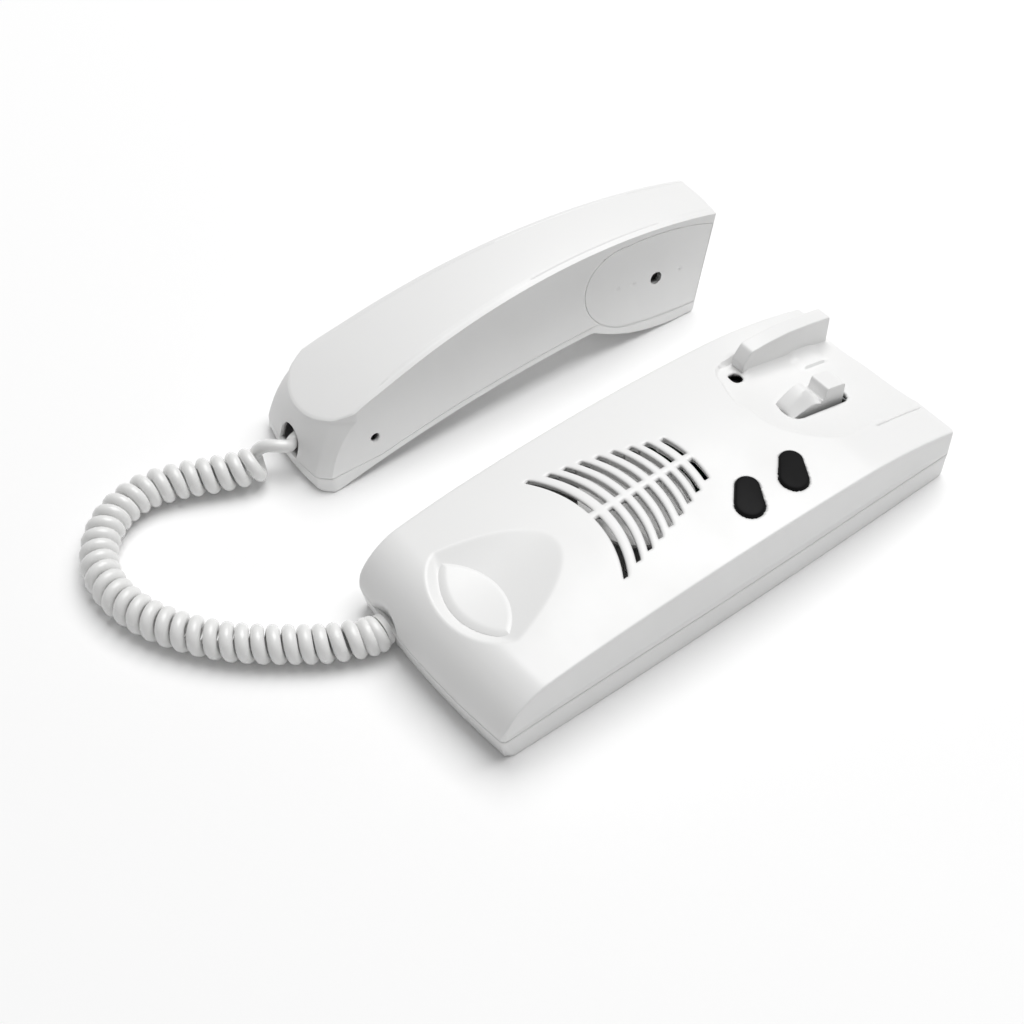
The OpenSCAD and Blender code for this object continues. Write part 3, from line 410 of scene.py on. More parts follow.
# finished top: the bare top with each feature let in through its own distance
def coverTop(x, y):
    z = bareTop(x, y)
    # mouthpiece scoop: a tilted trough that turns up as a collar below the badge
    trough = ridgeZ(np.array(scoop.apexY)) - scoop.slope * (scoop.apexY - y) + x * x / (2 * scoop.radius)
    collar = (badgeTop(x, y) - badge.roll - scoop.collarGap
              + scoop.collarSlope * np.clip(badgeDistance(x, y), 0, scoop.collarReach)
              - scoop.collarDrop * ease((y - scoop.collarY) / scoop.collarFade))
    trough = -softMin(-trough, -collar, scoop.collarSoft)
    z = z - softDepth(z - trough, scoop.soft) * (y < 0)
    # earpiece seat, closed off by the fin on the left and a fine slit on the right
    drop = softDepth(z - seatZ(x, y), seat.soft)
    lobe = np.where(y < seat.lobeY, np.hypot(x - seat.lobeX, y - seat.lobeY), seat.lobeX - x) - seat.lobe
    below = seat.edgeY + seat.edgeBend * np.minimum(x - seat.x, 0) ** 2 - y
    left = np.where(x < seat.lobeX, lobe, np.where(x < seat.x, below, -9))
    inside = ease((seat.leftReach - left) / seat.leftFade)
    inside = inside * ease((seat.slitX + seat.slit - x) / seat.rightFade)
    z = z - np.where(y > seat.startY, drop + seat.step * ease(drop / seat.soft), 0) * inside
    (low, high), (rise, fall) = seat.slitY, seat.slitFade
    slit = np.exp(-((x - seat.slitX) / seat.slit) ** 2)
    z = z - seat.slitDeep * slit * ease((y - low) / rise) * ease((high - y) / fall)
    # a low ledge beside the fin
    (low, high), (rise, fall) = seat.ledgeY, seat.ledgeFade
    ledge = ease((seat.ledgeX - x) / seat.ledgeSide) * ease((y - low) / rise) * ease((high - y) / fall)
    z = z + seat.ledge * ledge * (x > seat.ledgeEnd)
    # fillet at the fin's foot
    d = np.maximum(boxDistance(x, y, finFoot), 0)
    z = z + finFoot.rise * np.clip(1 - d / finFoot.fillet, 0, 1) ** 2
    # openings
    for box in (opening, screwHole):
        z = z - box.deep * ease((box.reach - boxDistance(x, y, box)) / box.fade)
    for place in buttons.places:
        reach = buttons.gap + buttons.lipReach - eggDistance(x, y, place)
        z = z - buttons.lip * ease(reach / buttons.lipFade)
    return z


# rows of the cover's grid from the foot to the cradle end, close together where there is detail
def coverRows():
    phi = np.radians(np.linspace(4, 54.6, 11))
    foot = cover.footFrom + cover.footRoll * (1 - np.cos(phi))
    slots = np.sort(np.array(grille.centres))
    edges = (slots[:, None] + np.array(grille.lipRows)).ravel()
    mids = (slots[1:] + slots[:-1]) / 2
    return np.unique(np.round(np.concatenate([
        foot, np.arange(-91.6, -34.2, 0.7), edges, mids, np.arange(11.0, 43, 0.5),
        np.arange(43, 95.6, 0.66), [96, 96.7, 97.4, 98, 98.5, 98.9, 99.3]]), 3))


# cover: the top as a grid, bent over its border and run straight down to the parting line, its openings left out
def makeCover():
    grid, rows = coverGrid, coverRows()
    right = np.concatenate([[0, 0.8, 1.6], np.arange(2.2, 39.4, 0.62), [24.5, 24.8, 25.1, grid.lastX]])
    right = np.unique(np.round(right, 3))
    lines = mirrored(right)
    bowShare = 1 - ease((rows - grid.bowFrom) / grid.bowRun)
    dropIn, dropOut = [ease((rows - y) / grid.dropRun) for y in (grid.dropFrom, grid.dropTo)]
    dropShare = dropIn * (1 - dropOut)

    # a row bends with the foot at the foot end and with the slots in the grille
    def rowY(x):
        inside = np.minimum(np.abs(x), grille.reach)
        dropped = grille.radius - np.sqrt(grille.radius ** 2 - inside ** 2)
        return rows[:, None] + bowShare[:, None] * (footY(x) - cover.footFrom) - dropShare[:, None] * dropped

    edgeY = rowY(np.full((len(rows), 1), grid.edgeX))[:, 0]
    edgeX = wallX(edgeY)
    inset = np.clip((bareTop(edgeX, edgeY) - cover.rollZ) / grid.insetRun, grid.insetLeast, 1)
    fillets = np.where(lines < 0, cover.leftFillet, cover.fillet)
    ramp = ease((np.abs(lines) - grid.stretchFrom) / grid.stretch) * np.sign(lines)
    x = lines[None, :] + (edgeX[:, None] - inset[:, None] * fillets[None, :] - grid.lastX) * ramp[None, :]
    y = rowY(x)
    for place in buttons.places:
        x, y = snapTo(x, y, lambda a, b: eggDistance(a, b, place) - buttons.gap, buttons.snap)
    for box in (opening, screwHole):
        x, y = snapTo(x, y, lambda a, b: boxDistance(a, b, box), grid.snap)
    z = coverTop(x, y)
    # slot lips
    slotTop = np.zeros_like(z)
    for centre, half in zip(grille.centres, grille.halves):
        near = ease((grille.lipHalf - np.abs(rows - centre)) / grille.lipFade)[:, None]
        near = near * ease((half + grille.lipEnd - np.abs(x)) / grille.endFade)
        slotTop = np.maximum(slotTop, near * ease((np.abs(x) - grille.lipSpine) / grille.endFade))
    z = z - grid.lip * slotTop
    # the cord's hood: a round dent in the foot end over the grommet
    d = np.hypot(x - cordHood.x, z - cordHood.z) / cordHood.radius
    y = y + cordHood.deep * np.clip(1 - d * d, 0, 1) * (y < cordHood.toY)
    cap = np.stack([x, y, z], -1)

    loop, row, col, onSide, footEnd, headEnd = borderOf(z.shape)
    edge = cap.reshape(-1, 3)[loop]
    side, across = np.sign(edge[:, 0]), np.abs(edge[:, 0])
    corner = edge.copy()
    corner[:, 0] = np.where(onSide, side * edgeX[row], edge[:, 0])
    corner[:, 1] = np.where(headEnd, cover.halfLength, corner[:, 1])
    r = cover.headCorner
    cx, cy = grid.cornerX - r, cover.halfLength - r
    inCorner = headEnd & (across > cx)
    spoke = unit(np.stack([across - cx, edge[:, 1] - cy], -1)) * r
    corner[:, 0] = np.where(inCorner, side * (cx + spoke[:, 0]), corner[:, 0])
    corner[:, 1] = np.where(inCorner, cy + spoke[:, 1], corner[:, 1])
    corner[:, 2] = edge[:, 2] - np.where(footEnd, grid.footBend, grid.sideBend * inset[row] * fillets[col])
    rim = corner.copy()
    rim[:, 2] = splitZ(corner[:, 1])
    points, capFaces, wallFaces, rings = capWithWalls(cap, corner, rim, 5, 5)

    # faces over the slots and openings come out
    midX, midY, midZ = middles(points, capFaces)
    rowOf = capFaces[:, 0] // z.shape[1]
    midRow = (rows[rowOf] + rows[rowOf + 1]) / 2
    keep = np.minimum(boxDistance(midX, midY, opening), boxDistance(midX, midY, screwHole)) >= grid.cut
    for centre, half in zip(grille.centres, grille.halves):
        inSlot = (np.abs(midX) > grille.spine) & (np.abs(midX) < half)
        keep &= ~(inSlot & (np.abs(midRow - centre) < grille.half))
    for place in buttons.places:
        keep &= eggDistance(midX, midY, place) >= buttons.gap + grid.cut
    points, faces = keepCap(points, capFaces, wallFaces, keep)
    obj = putMesh("coverSkin", points, faces, "base", ["front_cover"])
    thicken(obj, cover.grilleWall)
    low, high = grid.thickY
    thick = (np.abs(points[:, 0]) < grid.thickX) & (points[:, 1] > low) & (points[:, 1] < high)
    obj.vertex_groups.new(name="grille").add(np.flatnonzero(thick).tolist(), 1.0, "REPLACE")
    obj.modifiers["wall"].vertex_group = "grille"
    obj.modifiers["wall"].thickness_vertex_group = cover.wall / cover.grilleWall


makeCover()
print("cover made")

# tray under the cover: its floor lies on the table, its walls lean out, most of all at the foot end
tray = sizes(
    draft=0.4, footAt=-98.1, headDraft=0.4, footCorner=3.5, headCorner=2.0, edge=0.7, gap=0.35, wall=2.0, screwX=30.0,
    screwY=-35.0, screw=2.1, entryX=16.0, entryY=(-50.0, -20.0), lastX=38.6, rimY=(-100.25, 99.73), headFrom=85.0,
    snap=0.36, bowFrom=-98.0, bowRun=30.0, stretchFrom=24.0, stretch=14.6, footRun=25.0, footSink=0.05, headSquare=40)


# floor seen from below as a cap, with walls up to the line under the cover
def makeTray():
    out = tray.edge
    foot, head = tray.footAt + out, cover.halfLength - tray.headDraft - out
    turn = np.radians(np.linspace(10, 90, 9))
    rows = np.unique(np.round(np.concatenate([
        foot + tray.footCorner * (1 - np.cos(turn)), np.arange(-91, -51, 2.5), tray.entryY,
        np.arange(-47, -38.6, 2), np.arange(-38.2, -31.7, 0.5), np.arange(-30, -21, 2.5), np.arange(-17, 96, 3),
        head - tray.headCorner * (1 - np.cos(turn))]), 3))
    right = np.concatenate([[0, 4, 8, 12, 16, 19, 22, 25], np.arange(26.8, 33.3, 0.5), [34.5, 36, 37.4, tray.lastX]])
    lines = mirrored(right)
    bowShare = 1 - ease((rows - tray.bowFrom) / tray.bowRun)

    def floorX(y):
        bowed = cover.halfWidth - cover.sideBow * (y / cover.halfLength) ** 2 - tray.draft
        return bowed - cornerCut(head + out - y, tray.headCorner) - cornerCut(y - foot + out, tray.footCorner)

    def screwEdge(a, b):
        return np.hypot(np.abs(a) - tray.screwX, b - tray.screwY) - tray.screw
    ramp = ease((np.abs(lines) - tray.stretchFrom) / tray.stretch) * np.sign(lines)
    x = lines[None, :] + (floorX(rows) - out - tray.lastX)[:, None] * ramp[None, :]
    y = rows[:, None] + bowShare[:, None] * (footY(x) - cover.footFrom)
    x, y = snapTo(x, y, screwEdge, tray.snap)
    cap = np.stack([x, y, 0 * x], -1)
    loop, row, col, onSide, footEnd, headEnd = borderOf(x.shape)
    ex, ey = cap.reshape(-1, 3)[loop][:, :2].T
    corner = np.stack([np.where(onSide, np.sign(ex) * floorX(ey), ex), ey - out * footEnd + out * headEnd, 0 * ex], -1)
    # rim: side points slide towards each end so that they meet the cover's corners
    rimFoot, rimHead = tray.rimY
    rimY = ey + (rimFoot - ey[0]) * (1 - ease((ey - ey[0]) / tray.footRun))
    rimY = rimY + (rimHead - head) * ease((ey - tray.headFrom) / (head - tray.headFrom))
    footX, headX = wallX(np.array(tray.rimY))
    widest = np.abs(ex[headEnd]).max()
    rim = corner.copy()
    rim[:, 0] = np.where(onSide, np.sign(ex) * wallX(rimY), ex * np.where(footEnd, footX / abs(ex[0]), 1))
    rim[:, 0] = np.where(headEnd, ex * headX / widest, rim[:, 0])
    headY = cover.halfLength - (cover.halfLength - rimHead) * (np.abs(ex) / widest) ** tray.headSquare
    rim[:, 1] = np.where(footEnd, footY(rim[:, 0]) + tray.footSink, np.where(headEnd, headY, rimY))
    rim[:, 2] = tray.gap - splitZ(rim[:, 1])
    points, capFaces, wallFaces, rings = capWithWalls(cap, corner, rim, 4, 6)
    midX, midY, midZ = middles(points, capFaces)
    low, high = tray.entryY
    entry = (np.abs(midX) < tray.entryX) & (midY > low) & (midY < high)
    points, faces = keepCap(points, capFaces, wallFaces, (screwEdge(midX, midY) > coverGrid.cut) & ~entry)
    points[:, 2] *= -1
    obj = putMesh("trayShell", points, faces[:, ::-1], "base", ["back_plate"])
    thicken(obj, tray.wall)


makeTray()
print("tray made")

# small pieces of the base
fin = sizes(
    x0=-27.0, x1=-21.0, edge=0.8, soft=0.5,
    profile=[(53.8, 30), (53.4, 34.8), (57.2, 40.0), (66, 39.9), (75, 39.1), (85, 37.0), (96.4, 34.2), (96.4, 21)])
lever = sizes(
    x0=-2.1, x1=6.3, edge=0.9, soft=0.9,
    hip=1.05, hipX=2.4, hipY=66.0, hipZ=30.0, hipRise=7.0,
    profile=[(53.0, 22), (51.4, 30), (51.5, 33.4), (57.0, 36.2), (60.4, 37.2), (62.6, 36.8), (66.2, 31.8),
        (67.4, 31.9), (68.0, 35.6), (68.9, 36.4), (76.6, 34.2), (77.3, 33.4), (77.3, 22)])


# a closed outline with each corner cut back twice over, so that it turns softly
def softOutline(points, soft):
    p = np.array(points, float)
    for _ in range(2):
        after = np.roll(p, -1, axis=0)
        length = np.linalg.norm(after - p, axis=1, keepdims=True)
        cut = np.minimum(length * 0.25, soft) / length
        p = np.stack([p + (after - p) * cut, after - (after - p) * cut], 1).reshape(-1, 2)
    return p


# a side outline in Y and Z carried across X; with a hip its front part falls off towards the last side
def makeAcross(name, size, body, replaces):
    side = softOutline(size.profile, size.soft)
    xs = np.linspace(size.x0, size.x1, 9)
    rows, cols = len(xs), len(side)
    x, y, z = np.repeat(xs, cols), np.tile(side[:, 0], rows), np.tile(side[:, 1], rows)
    if hasattr(size, "hip"):
        fall = size.hip * np.maximum(x - size.hipX, 0) * (y < size.hipY)
        z = z - fall * np.clip((z - size.hipZ) / size.hipRise, 0, 1)
    a, b = side - side[0], np.roll(side, -1, axis=0) - side[0]
    area = (a[:, 0] * b[:, 1] - a[:, 1] * b[:, 0]).sum()
    faces = tubeFaces(rows, cols, over=area <= 0)
    obj = putMesh(name, np.stack([x, y, z], -1), faces, body, replaces, sharp=35)
    roundEdges(obj, size.edge, 4, 40)


# almond plate: columns between two arcs, level in the middle, its border rolled down on a parabola
def makeBadge():
    up, low = badgeOff()
    high, deep = badge.upper - badge.inset, badge.lower - badge.inset
    reach = math.sqrt(min(high * high - up * up, deep * deep - low * low)) - badge.tip
    x = reach * np.sin(np.linspace(-np.pi / 2, np.pi / 2, badge.rows))[:, None]
    q = np.sin(np.linspace(np.pi / 2, -np.pi / 2, badge.cols))[None, :]
    y = badge.y + np.where(q > 0, np.sqrt(high * high - x * x) - up, np.sqrt(deep * deep - x * x) - low) * q
    border = np.clip(1 + badgeDistance(x, y) / badge.rollWidth, 0, 1)
    cap = np.stack([x + 0 * q, y, badgeTop(x, y) - badge.roll * border ** 2], -1)
    corner = cap.reshape(-1, 3)[capLoop(*y.shape)]
    corner[:, :2] += badge.flare * unit(corner[:, :2] - [0, badge.y])
    corner[:, 2] -= badge.sag
    points, capFaces, wallFaces, rings = capWithWalls(cap, corner, corner - [0, 0, badge.thick], 3, 2)
    faces = np.vstack([capFaces, wallFaces]).tolist()
    faces.append((len(points) - rings.shape[1] + np.arange(rings.shape[1]))[::-1].tolist())
    putMesh("badgeDish", points, faces, "base", ["badge_plate"])


# push button: rings of the egg outline drawn in towards its middle, domed, with a turned-down side
def makeButton(place, name):
    a = math.radians(buttons.turn)
    big, small, low, high = buttons.big, buttons.small, buttons.low, buttons.high
    lean = math.acos((big - small) / (high - low))
    wide = np.linspace(-(np.pi - lean), np.pi - lean, 40)
    narrow = np.linspace(np.pi - lean, np.pi + lean, 36)[1:-1]
    egg = np.vstack([np.column_stack([high + big * np.cos(wide), big * np.sin(wide)]),
                     np.column_stack([low + small * np.cos(narrow), small * np.sin(narrow)])])
    egg = egg @ np.array([[math.cos(a), math.sin(a)], [-math.sin(a), math.cos(a)]])
    share, lift = np.array(buttons.share), np.array(buttons.lift)
    xy = np.array(place) + share[:, None, None] * egg[None]
    ground = bareTop(xy[..., 0], xy[..., 1])
    points = np.dstack([xy, ground + buttons.rise * lift[:, None]]).reshape(-1, 3)
    faces = tubeFaces(len(share), len(egg), over=True)
    putMesh(name + "Cap", points, faces, name + "_key", [name + "_button"])


makeAcross("hookFin", fin, "base", [])
makeAcross("leverCam", lever, "hook", ["hook_lever"])
makeBadge()
for place, name in zip(buttons.places, buttons.names):
    makeButton(place, name)
print("small base pieces made")

# handset: s runs along it from the mouth end, u across it and z out of its inner face
hand = sizes(
    at=(-109.5, -78.0), turn=-4.8, half=22.8, taper=0.04, draft=0.1, backRadius=257.0, crestS=110.5, crestZ=49.5,
    crown=1.5, crownHalf=24.0, archRadius=540.0, archS=123.0, archZ=13.3, lumpRadius=76.0, lumpS=160.0, earFoot=164.6,
    earLean=0.262, earIn=1.2, mouthFoot=-5.0, mouthRun=5.4, mouthWideS=8.0, footArc=90.0, tongueArc=24.0,
    tongueZ=27.0, mouthLip=3.0, mouthZ=7.0, lip=3.2, mouthCorner=3.8, sideFillet=2.6, sideDrop=0.35, groove=0.28,
    tongueFillet=0.8, earFillet=0.7, frontFillet=1.4, backRise=0.06, frontSink=0.14, wall=1.8)
panel = sizes(
    s=134.0, z=27.35, reach=20.5, half=18.25, climb=0.17, topBend=200.0, lowSlope=0.22,
    lowBend=0.0029, pocket=1.1, gap=0.22, edge=0.25, endGap=0.25, thick=1.3, holeS=146.7,
    holeZ=25.0, hole=2.6, dimple=0.5, dimpleHalf=0.8, dimpleFade=0.5,
    dimples=[(128.6, 28.6), (136.0, 27.3), (158.0, 23.8)])
cordMouth = sizes(half=6.3, z=10.7)
sideHole = sizes(s=20.3, z=16.0, radius=1.9)
soundHoles = sizes(ear=145.0, ring=6.0, radius=1.3, count=6, mouth=9.0, pitch=3.0, small=0.8)


# the handset's s, u and z in the shared frame: a turn about Z and a shift
def handPoints(s, u, z):
    a = math.radians(hand.turn)
    x = hand.at[0] + u * math.cos(a) - s * math.sin(a)
    return np.stack(np.broadcast_arrays(x, hand.at[1] + u * math.sin(a) + s * math.cos(a), z), -1)


# back face: a long arc with a slight crown across
def backZ(s, u):
    r = hand.backRadius
    arc = hand.crestZ - r + np.sqrt(r * r - (s - hand.crestS) ** 2)
    return arc + hand.crown * (1 - (u / hand.crownHalf) ** 2)


# half width: tapers along the handset and drafts in with height
def sideU(s, z):
    return hand.half - hand.taper * s - hand.draft * z


# mouth end: arcs across, wide at the foot and tight at the crease, whose meeting with the sides is cut off
def mouthS(u, z):
    k = hand.mouthCorner
    share = np.clip((z - hand.mouthZ) / (hand.tongueZ - hand.mouthZ), 0, 1.15)
    bend = 1 / hand.footArc + (1 / hand.tongueArc - 1 / hand.footArc) * np.minimum(share, 1) ** 2.5
    d = np.clip(k - (sideU(hand.mouthWideS, z) - np.abs(u)), 0, k)
    cut = 0.6 * d + 0.4 * (k - np.sqrt(k * k - d * d))
    return (hand.mouthFoot + hand.mouthRun * share
            + (1 - np.sqrt(np.maximum(1 - (u * bend) ** 2, 0.04))) / bend + cut)


# ear end: a plane leaning out
def earPlane(z):
    return hand.earFoot + hand.earLean * z


# that plane on the back face, found by repeated substitution
def earS(u):
    s = np.full_like(u, 178.0)
    for _ in range(8):
        s = earPlane(backZ(s, u))
    return s


# the mouth end's crease, found on the back face in the same way at half steps
def tongueS(u):
    s = np.zeros_like(u)
    for _ in range(25):
        s = 0.5 * s + 0.5 * mouthS(u, backZ(s, u))
    return s


# underside of the grip: a wide arc
def archZ(s):
    return hand.archZ - hand.archRadius + np.sqrt(hand.archRadius ** 2 - (s - hand.archS) ** 2)


# inner face: flat under the mouth, an arch along the grip and a round lump under the ear
def innerZ(s):
    r = hand.lumpRadius
    lump = np.where(s > hand.lumpS, 0, r - np.sqrt(np.maximum(r * r - (s - hand.lumpS) ** 2, 0)))
    low = np.where(hand.lumpS - s < 0.7 * r, softMin(archZ(s), lump, 0.5), np.maximum(archZ(s), 0))
    return np.maximum(low, np.where(s < 0, hand.mouthLip * (s / 8) ** 2, 0))


# upper and lower edge of the let-in panel: a half ellipse on a climbing line, then two slow curves to the ear end
def panelEdges(s, inset=0.0):
    back = np.clip((panel.s - s) / (panel.reach - inset), 0, 1)
    on = np.maximum(s - panel.s, 0)
    mid = panel.z + panel.climb * np.maximum(panel.s - s, 0)
    half = (panel.half - inset) * np.sqrt(1 - back * back)
    return (mid + half - on * on / panel.topBend, mid - half - panel.lowSlope * on + panel.lowBend * on * on)


# distance to that outline, negative inside
def panelDistance(s, z):
    top, low = panelEdges(s)
    mid = panel.z + panel.climb * np.maximum(panel.s - s, 0)
    ratio = panel.half / panel.reach
    roundEnd = np.hypot((s - panel.s) * ratio, z - mid) - panel.half
    return np.where(s < panel.s, roundEnd, np.maximum(z - top, low - z))


# line where the two shells meet, just under the panel at the ear end
def partingZ(s):
    under = np.where(s < panel.s - panel.reach, 99, panelEdges(s)[1] - 0.2)
    return np.minimum(np.maximum(hand.mouthZ, archZ(s) + hand.lip), under)


# rim of a shell: the mouth end's foot, the parting line along the sides and a level line across the ear end
# side points slide with the mouth end over the first share of the length, and with the ear end over the last
def handRim(cs, cu, cz, mouthEnd, earEnd, along, side, fade, topS, earFrom, earRun):
    rz = np.full_like(cs, hand.mouthZ)
    ru = cu * sideU(hand.mouthWideS, rz) / sideU(hand.mouthWideS, cz)
    rs = mouthS(ru, rz)
    earZ = partingZ(np.array([hand.earFoot + hand.earIn]))[0]
    earRim = earPlane(earZ)
    sideS = cs - (cs[0] - rs[0]) * (1 - ease(along / fade)) + (earRim - topS) * ease((along - earFrom) / earRun)
    rs = np.where(mouthEnd, rs, np.where(earEnd, earRim, sideS))
    rz = np.where(mouthEnd, rz, np.where(earEnd, earZ, partingZ(rs)))
    ru = np.where(mouthEnd, ru, np.where(earEnd, cu * sideU(rs, rz) / sideU(cs, cz), side * sideU(rs, rz)))
    return rs, ru, rz


# the back shell's grid: sizes and places in millimetres, and shares of the length over which its edges slide
backGrid = sizes(
    rows=250, cols=47, bends=5, steps=50, fade=0.12, filletRun=0.16, beside=0.004, halfU=18.0, holeS=2.0, holeZ=26.5,
    earU=15.0, panelSnap=0.42, holeSnap=0.45, panelRim=0.1, panelFrom=100.0, pocketReach=0.04, pocketFade=0.2,
    earReach=0.4, earFade=0.5, holeRoom=0.7, sideFrom=12.0)


# back shell: the back face as a cap, then walls ruled down to the parting line
def makeBackShell():
    grid, wide, half = backGrid, hand.mouthWideS, cordMouth.half
    fade, bends, steps, holeZ = grid.fade, grid.bends, grid.steps, grid.holeZ
    v = np.linspace(0, 1, grid.rows)[:, None]
    atHole = half / (sideU(grid.holeS, holeZ) * sideU(wide, hand.mouthZ) / sideU(wide, holeZ))
    beside = np.array([-1, 1]) * grid.beside
    q = np.sort(np.concatenate([np.linspace(-1, 1, grid.cols), atHole + beside, -atHole + beside]))[None, :]
    fillet = hand.tongueFillet + (hand.sideFillet - hand.tongueFillet) * ease(v / grid.filletRun)
    u = grid.halfU * q + 0 * v
    for _ in range(4):
        s = (tongueS(u) + hand.tongueFillet) * (1 - v) + (earS(u) - hand.earFillet) * v
        full = sideU(s, backZ(s, grid.halfU))
        u = q * (full - fillet)
    cap = np.stack([s, u, backZ(s, u)], -1)
    loop, row, col, onSide, mouthEnd, earEnd = borderOf(s.shape)
    es, side, along = s.ravel()[loop], np.sign(q[0, col]), v[row, 0]
    # corner line
    cu = q[0, col] * full.ravel()[loop]
    slide = (tongueS(cu[:1])[0] - es[0]) * (1 - ease(along / fade)) + hand.earFillet * ease((along - 0.9) / 0.1)
    cs = np.where(earEnd, earS(cu), np.where(mouthEnd, tongueS(cu), es + slide))
    cz = backZ(cs, cu)
    cu = np.where(onSide & ~mouthEnd, side * sideU(cs, cz), cu)
    topS = earS(np.array([grid.earU]))[0]
    rs, ru, rz = handRim(cs, cu, cz, mouthEnd, earEnd, along, side, fade, topS, 0.85, 0.15)
    # arch over the cord
    over = mouthEnd & (np.abs(ru) < half)
    rz = np.where(over, cordMouth.z + np.sqrt(np.maximum(half ** 2 - ru ** 2, 0)), rz)
    rs = np.where(over, mouthS(ru, rz), rs)
    corner, rim = np.stack([cs, cu, cz], -1), np.stack([rs, ru, rz + hand.backRise], -1)
    points, capFaces, wallFaces, rings = capWithWalls(cap, corner, rim, bends, steps, 1.0, hand.sideDrop)
    # a fine line along both edges of the back
    line = onSide * ease((along - 0.03) / 0.1) * ease((1 - along) / 0.02)
    points[s.size:s.size + len(loop), 2] -= hand.groove * line

    # panels and holes let into the side walls
    ws, wu, wz = np.moveaxis(rings[bends:], -1, 0)
    bow = mouthS(wu[:, :1], wz[:, :1]) - ws[:, :1]
    ws = np.where(mouthEnd & ~onSide, mouthS(wu, wz), ws + bow * onSide * (1 - ease(along / fade)))
    sideWay = np.sign(wu)

    def panelEdge(a, b):
        return panelDistance(a, b) - grid.panelRim

    def holeEdge(a, b):
        return np.hypot(a - sideHole.s, b - sideHole.z) - sideHole.radius
    sa, za = snapTo(*snapTo(ws, wz, panelEdge, grid.panelSnap), holeEdge, grid.holeSnap)
    free = onSide[None, :] & (np.arange(steps)[:, None] < steps - 1)
    ws, wz = np.where(free, sa, ws), np.where(free, za, wz)
    wu = np.where(free, sideWay * sideU(ws, wz), wu)
    pocket = panel.pocket * ease((grid.pocketReach - panelEdge(ws, wz)) / grid.pocketFade)
    pocket = pocket * (ws > grid.panelFrom) * ease((earPlane(wz) - ws - grid.earReach) / grid.earFade)
    wall = np.stack([ws, wu - sideWay * onSide * pocket, wz], -1)
    points[len(points) - wall.size // 3:] = wall.reshape(-1, 3)
    midS, midU, midZ = middles(points, wallFaces)
    holes = np.hypot(midS - panel.holeS, midZ - panel.holeZ) < panel.hole + grid.holeRoom
    holes = (holes | (holeEdge(midS, midZ) < -0.05)) & (np.abs(midU) > grid.sideFrom)
    keep = np.concatenate([np.ones(len(capFaces), bool), ~holes])
    points, faces = dropFaces(points, np.vstack([capFaces, wallFaces]), keep)
    obj = putMesh("handBack", handPoints(*points.T), faces, "handset", ["handset_back_shell"])
    thicken(obj, hand.wall)


# front shell: the inner face as a cap seen from below, with walls up to the parting line
def makeFrontShell():
    fillet, fade = hand.frontFillet, 0.1
    rows = np.concatenate([np.linspace(0, 132, 100), np.linspace(133, 135.9, 4), np.arange(136.4, 153.7, 0.45),
                           np.linspace(154.2, 166.5, 18)])
    v = ((rows - rows[0]) / (rows[-1] - rows[0]))[:, None]
    q = np.linspace(-1, 1, 75)[None, :]
    u = q * (sideU(rows, innerZ(rows))[:, None] - fillet)
    s = (mouthS(u, 2.0) + fillet) * (1 - v) + (hand.earFoot - 0.5) * v
    u = q * (sideU(s, innerZ(s)) - fillet)

    # nearest of the sound holes: a ring with one in its middle at the ear, and a row of three at the mouth
    def holes(a, b):
        turn = 2 * np.pi * np.arange(soundHoles.count) / soundHoles.count
        ear, wide, ring = soundHoles.ear, soundHoles.radius, soundHoles.ring
        places = [(ear + ring * math.sin(t), ring * math.cos(t), wide) for t in turn] + [(ear, 0.0, wide)]
        places += [(soundHoles.mouth, k * soundHoles.pitch, soundHoles.small) for k in (-1, 0, 1)]
        return np.minimum.reduce([np.hypot(a - ps, b - pu) - r for ps, pu, r in places])
    s, u = snapTo(s, u, holes, 0.28)
    cap = np.stack([s, u, -innerZ(s)], -1)
    loop, row, col, onSide, mouthEnd, earEnd = borderOf(s.shape)
    es, side, along = s.ravel()[loop], np.sign(q[0, col]), v[row, 0]
    cs = np.where(earEnd, earPlane(0.3), es)
    cu = q[0, col] * sideU(cs, innerZ(cs))
    cs = np.where(mouthEnd, mouthS(cu, 1.0), cs)
    slide = (cs[0] - es[0]) * (1 - ease(along / fade)) + 0.5 * ease((along - 0.95) / 0.05)
    cs = np.where(mouthEnd | earEnd, cs, es + slide)
    cz = innerZ(cs)
    rs, ru, rz = handRim(cs, cu, cz, mouthEnd, earEnd, along, side, fade, hand.earFoot, 0.9, 0.1)
    corner, rim = np.stack([cs, cu, -cz], -1), np.stack([rs, ru, hand.frontSink - rz], -1)
    points, capFaces, wallFaces, rings = capWithWalls(cap, corner, rim, 5, 8)
    midS, midU, midZ = middles(points, capFaces)
    points, faces = keepCap(points, capFaces, wallFaces, holes(midS, midU) > coverGrid.cut)
    points[:, 2] *= -1
    obj = putMesh("handFront", handPoints(*points.T), faces[:, ::-1], "handset", ["handset_front_shell"])
    thicken(obj, hand.wall)


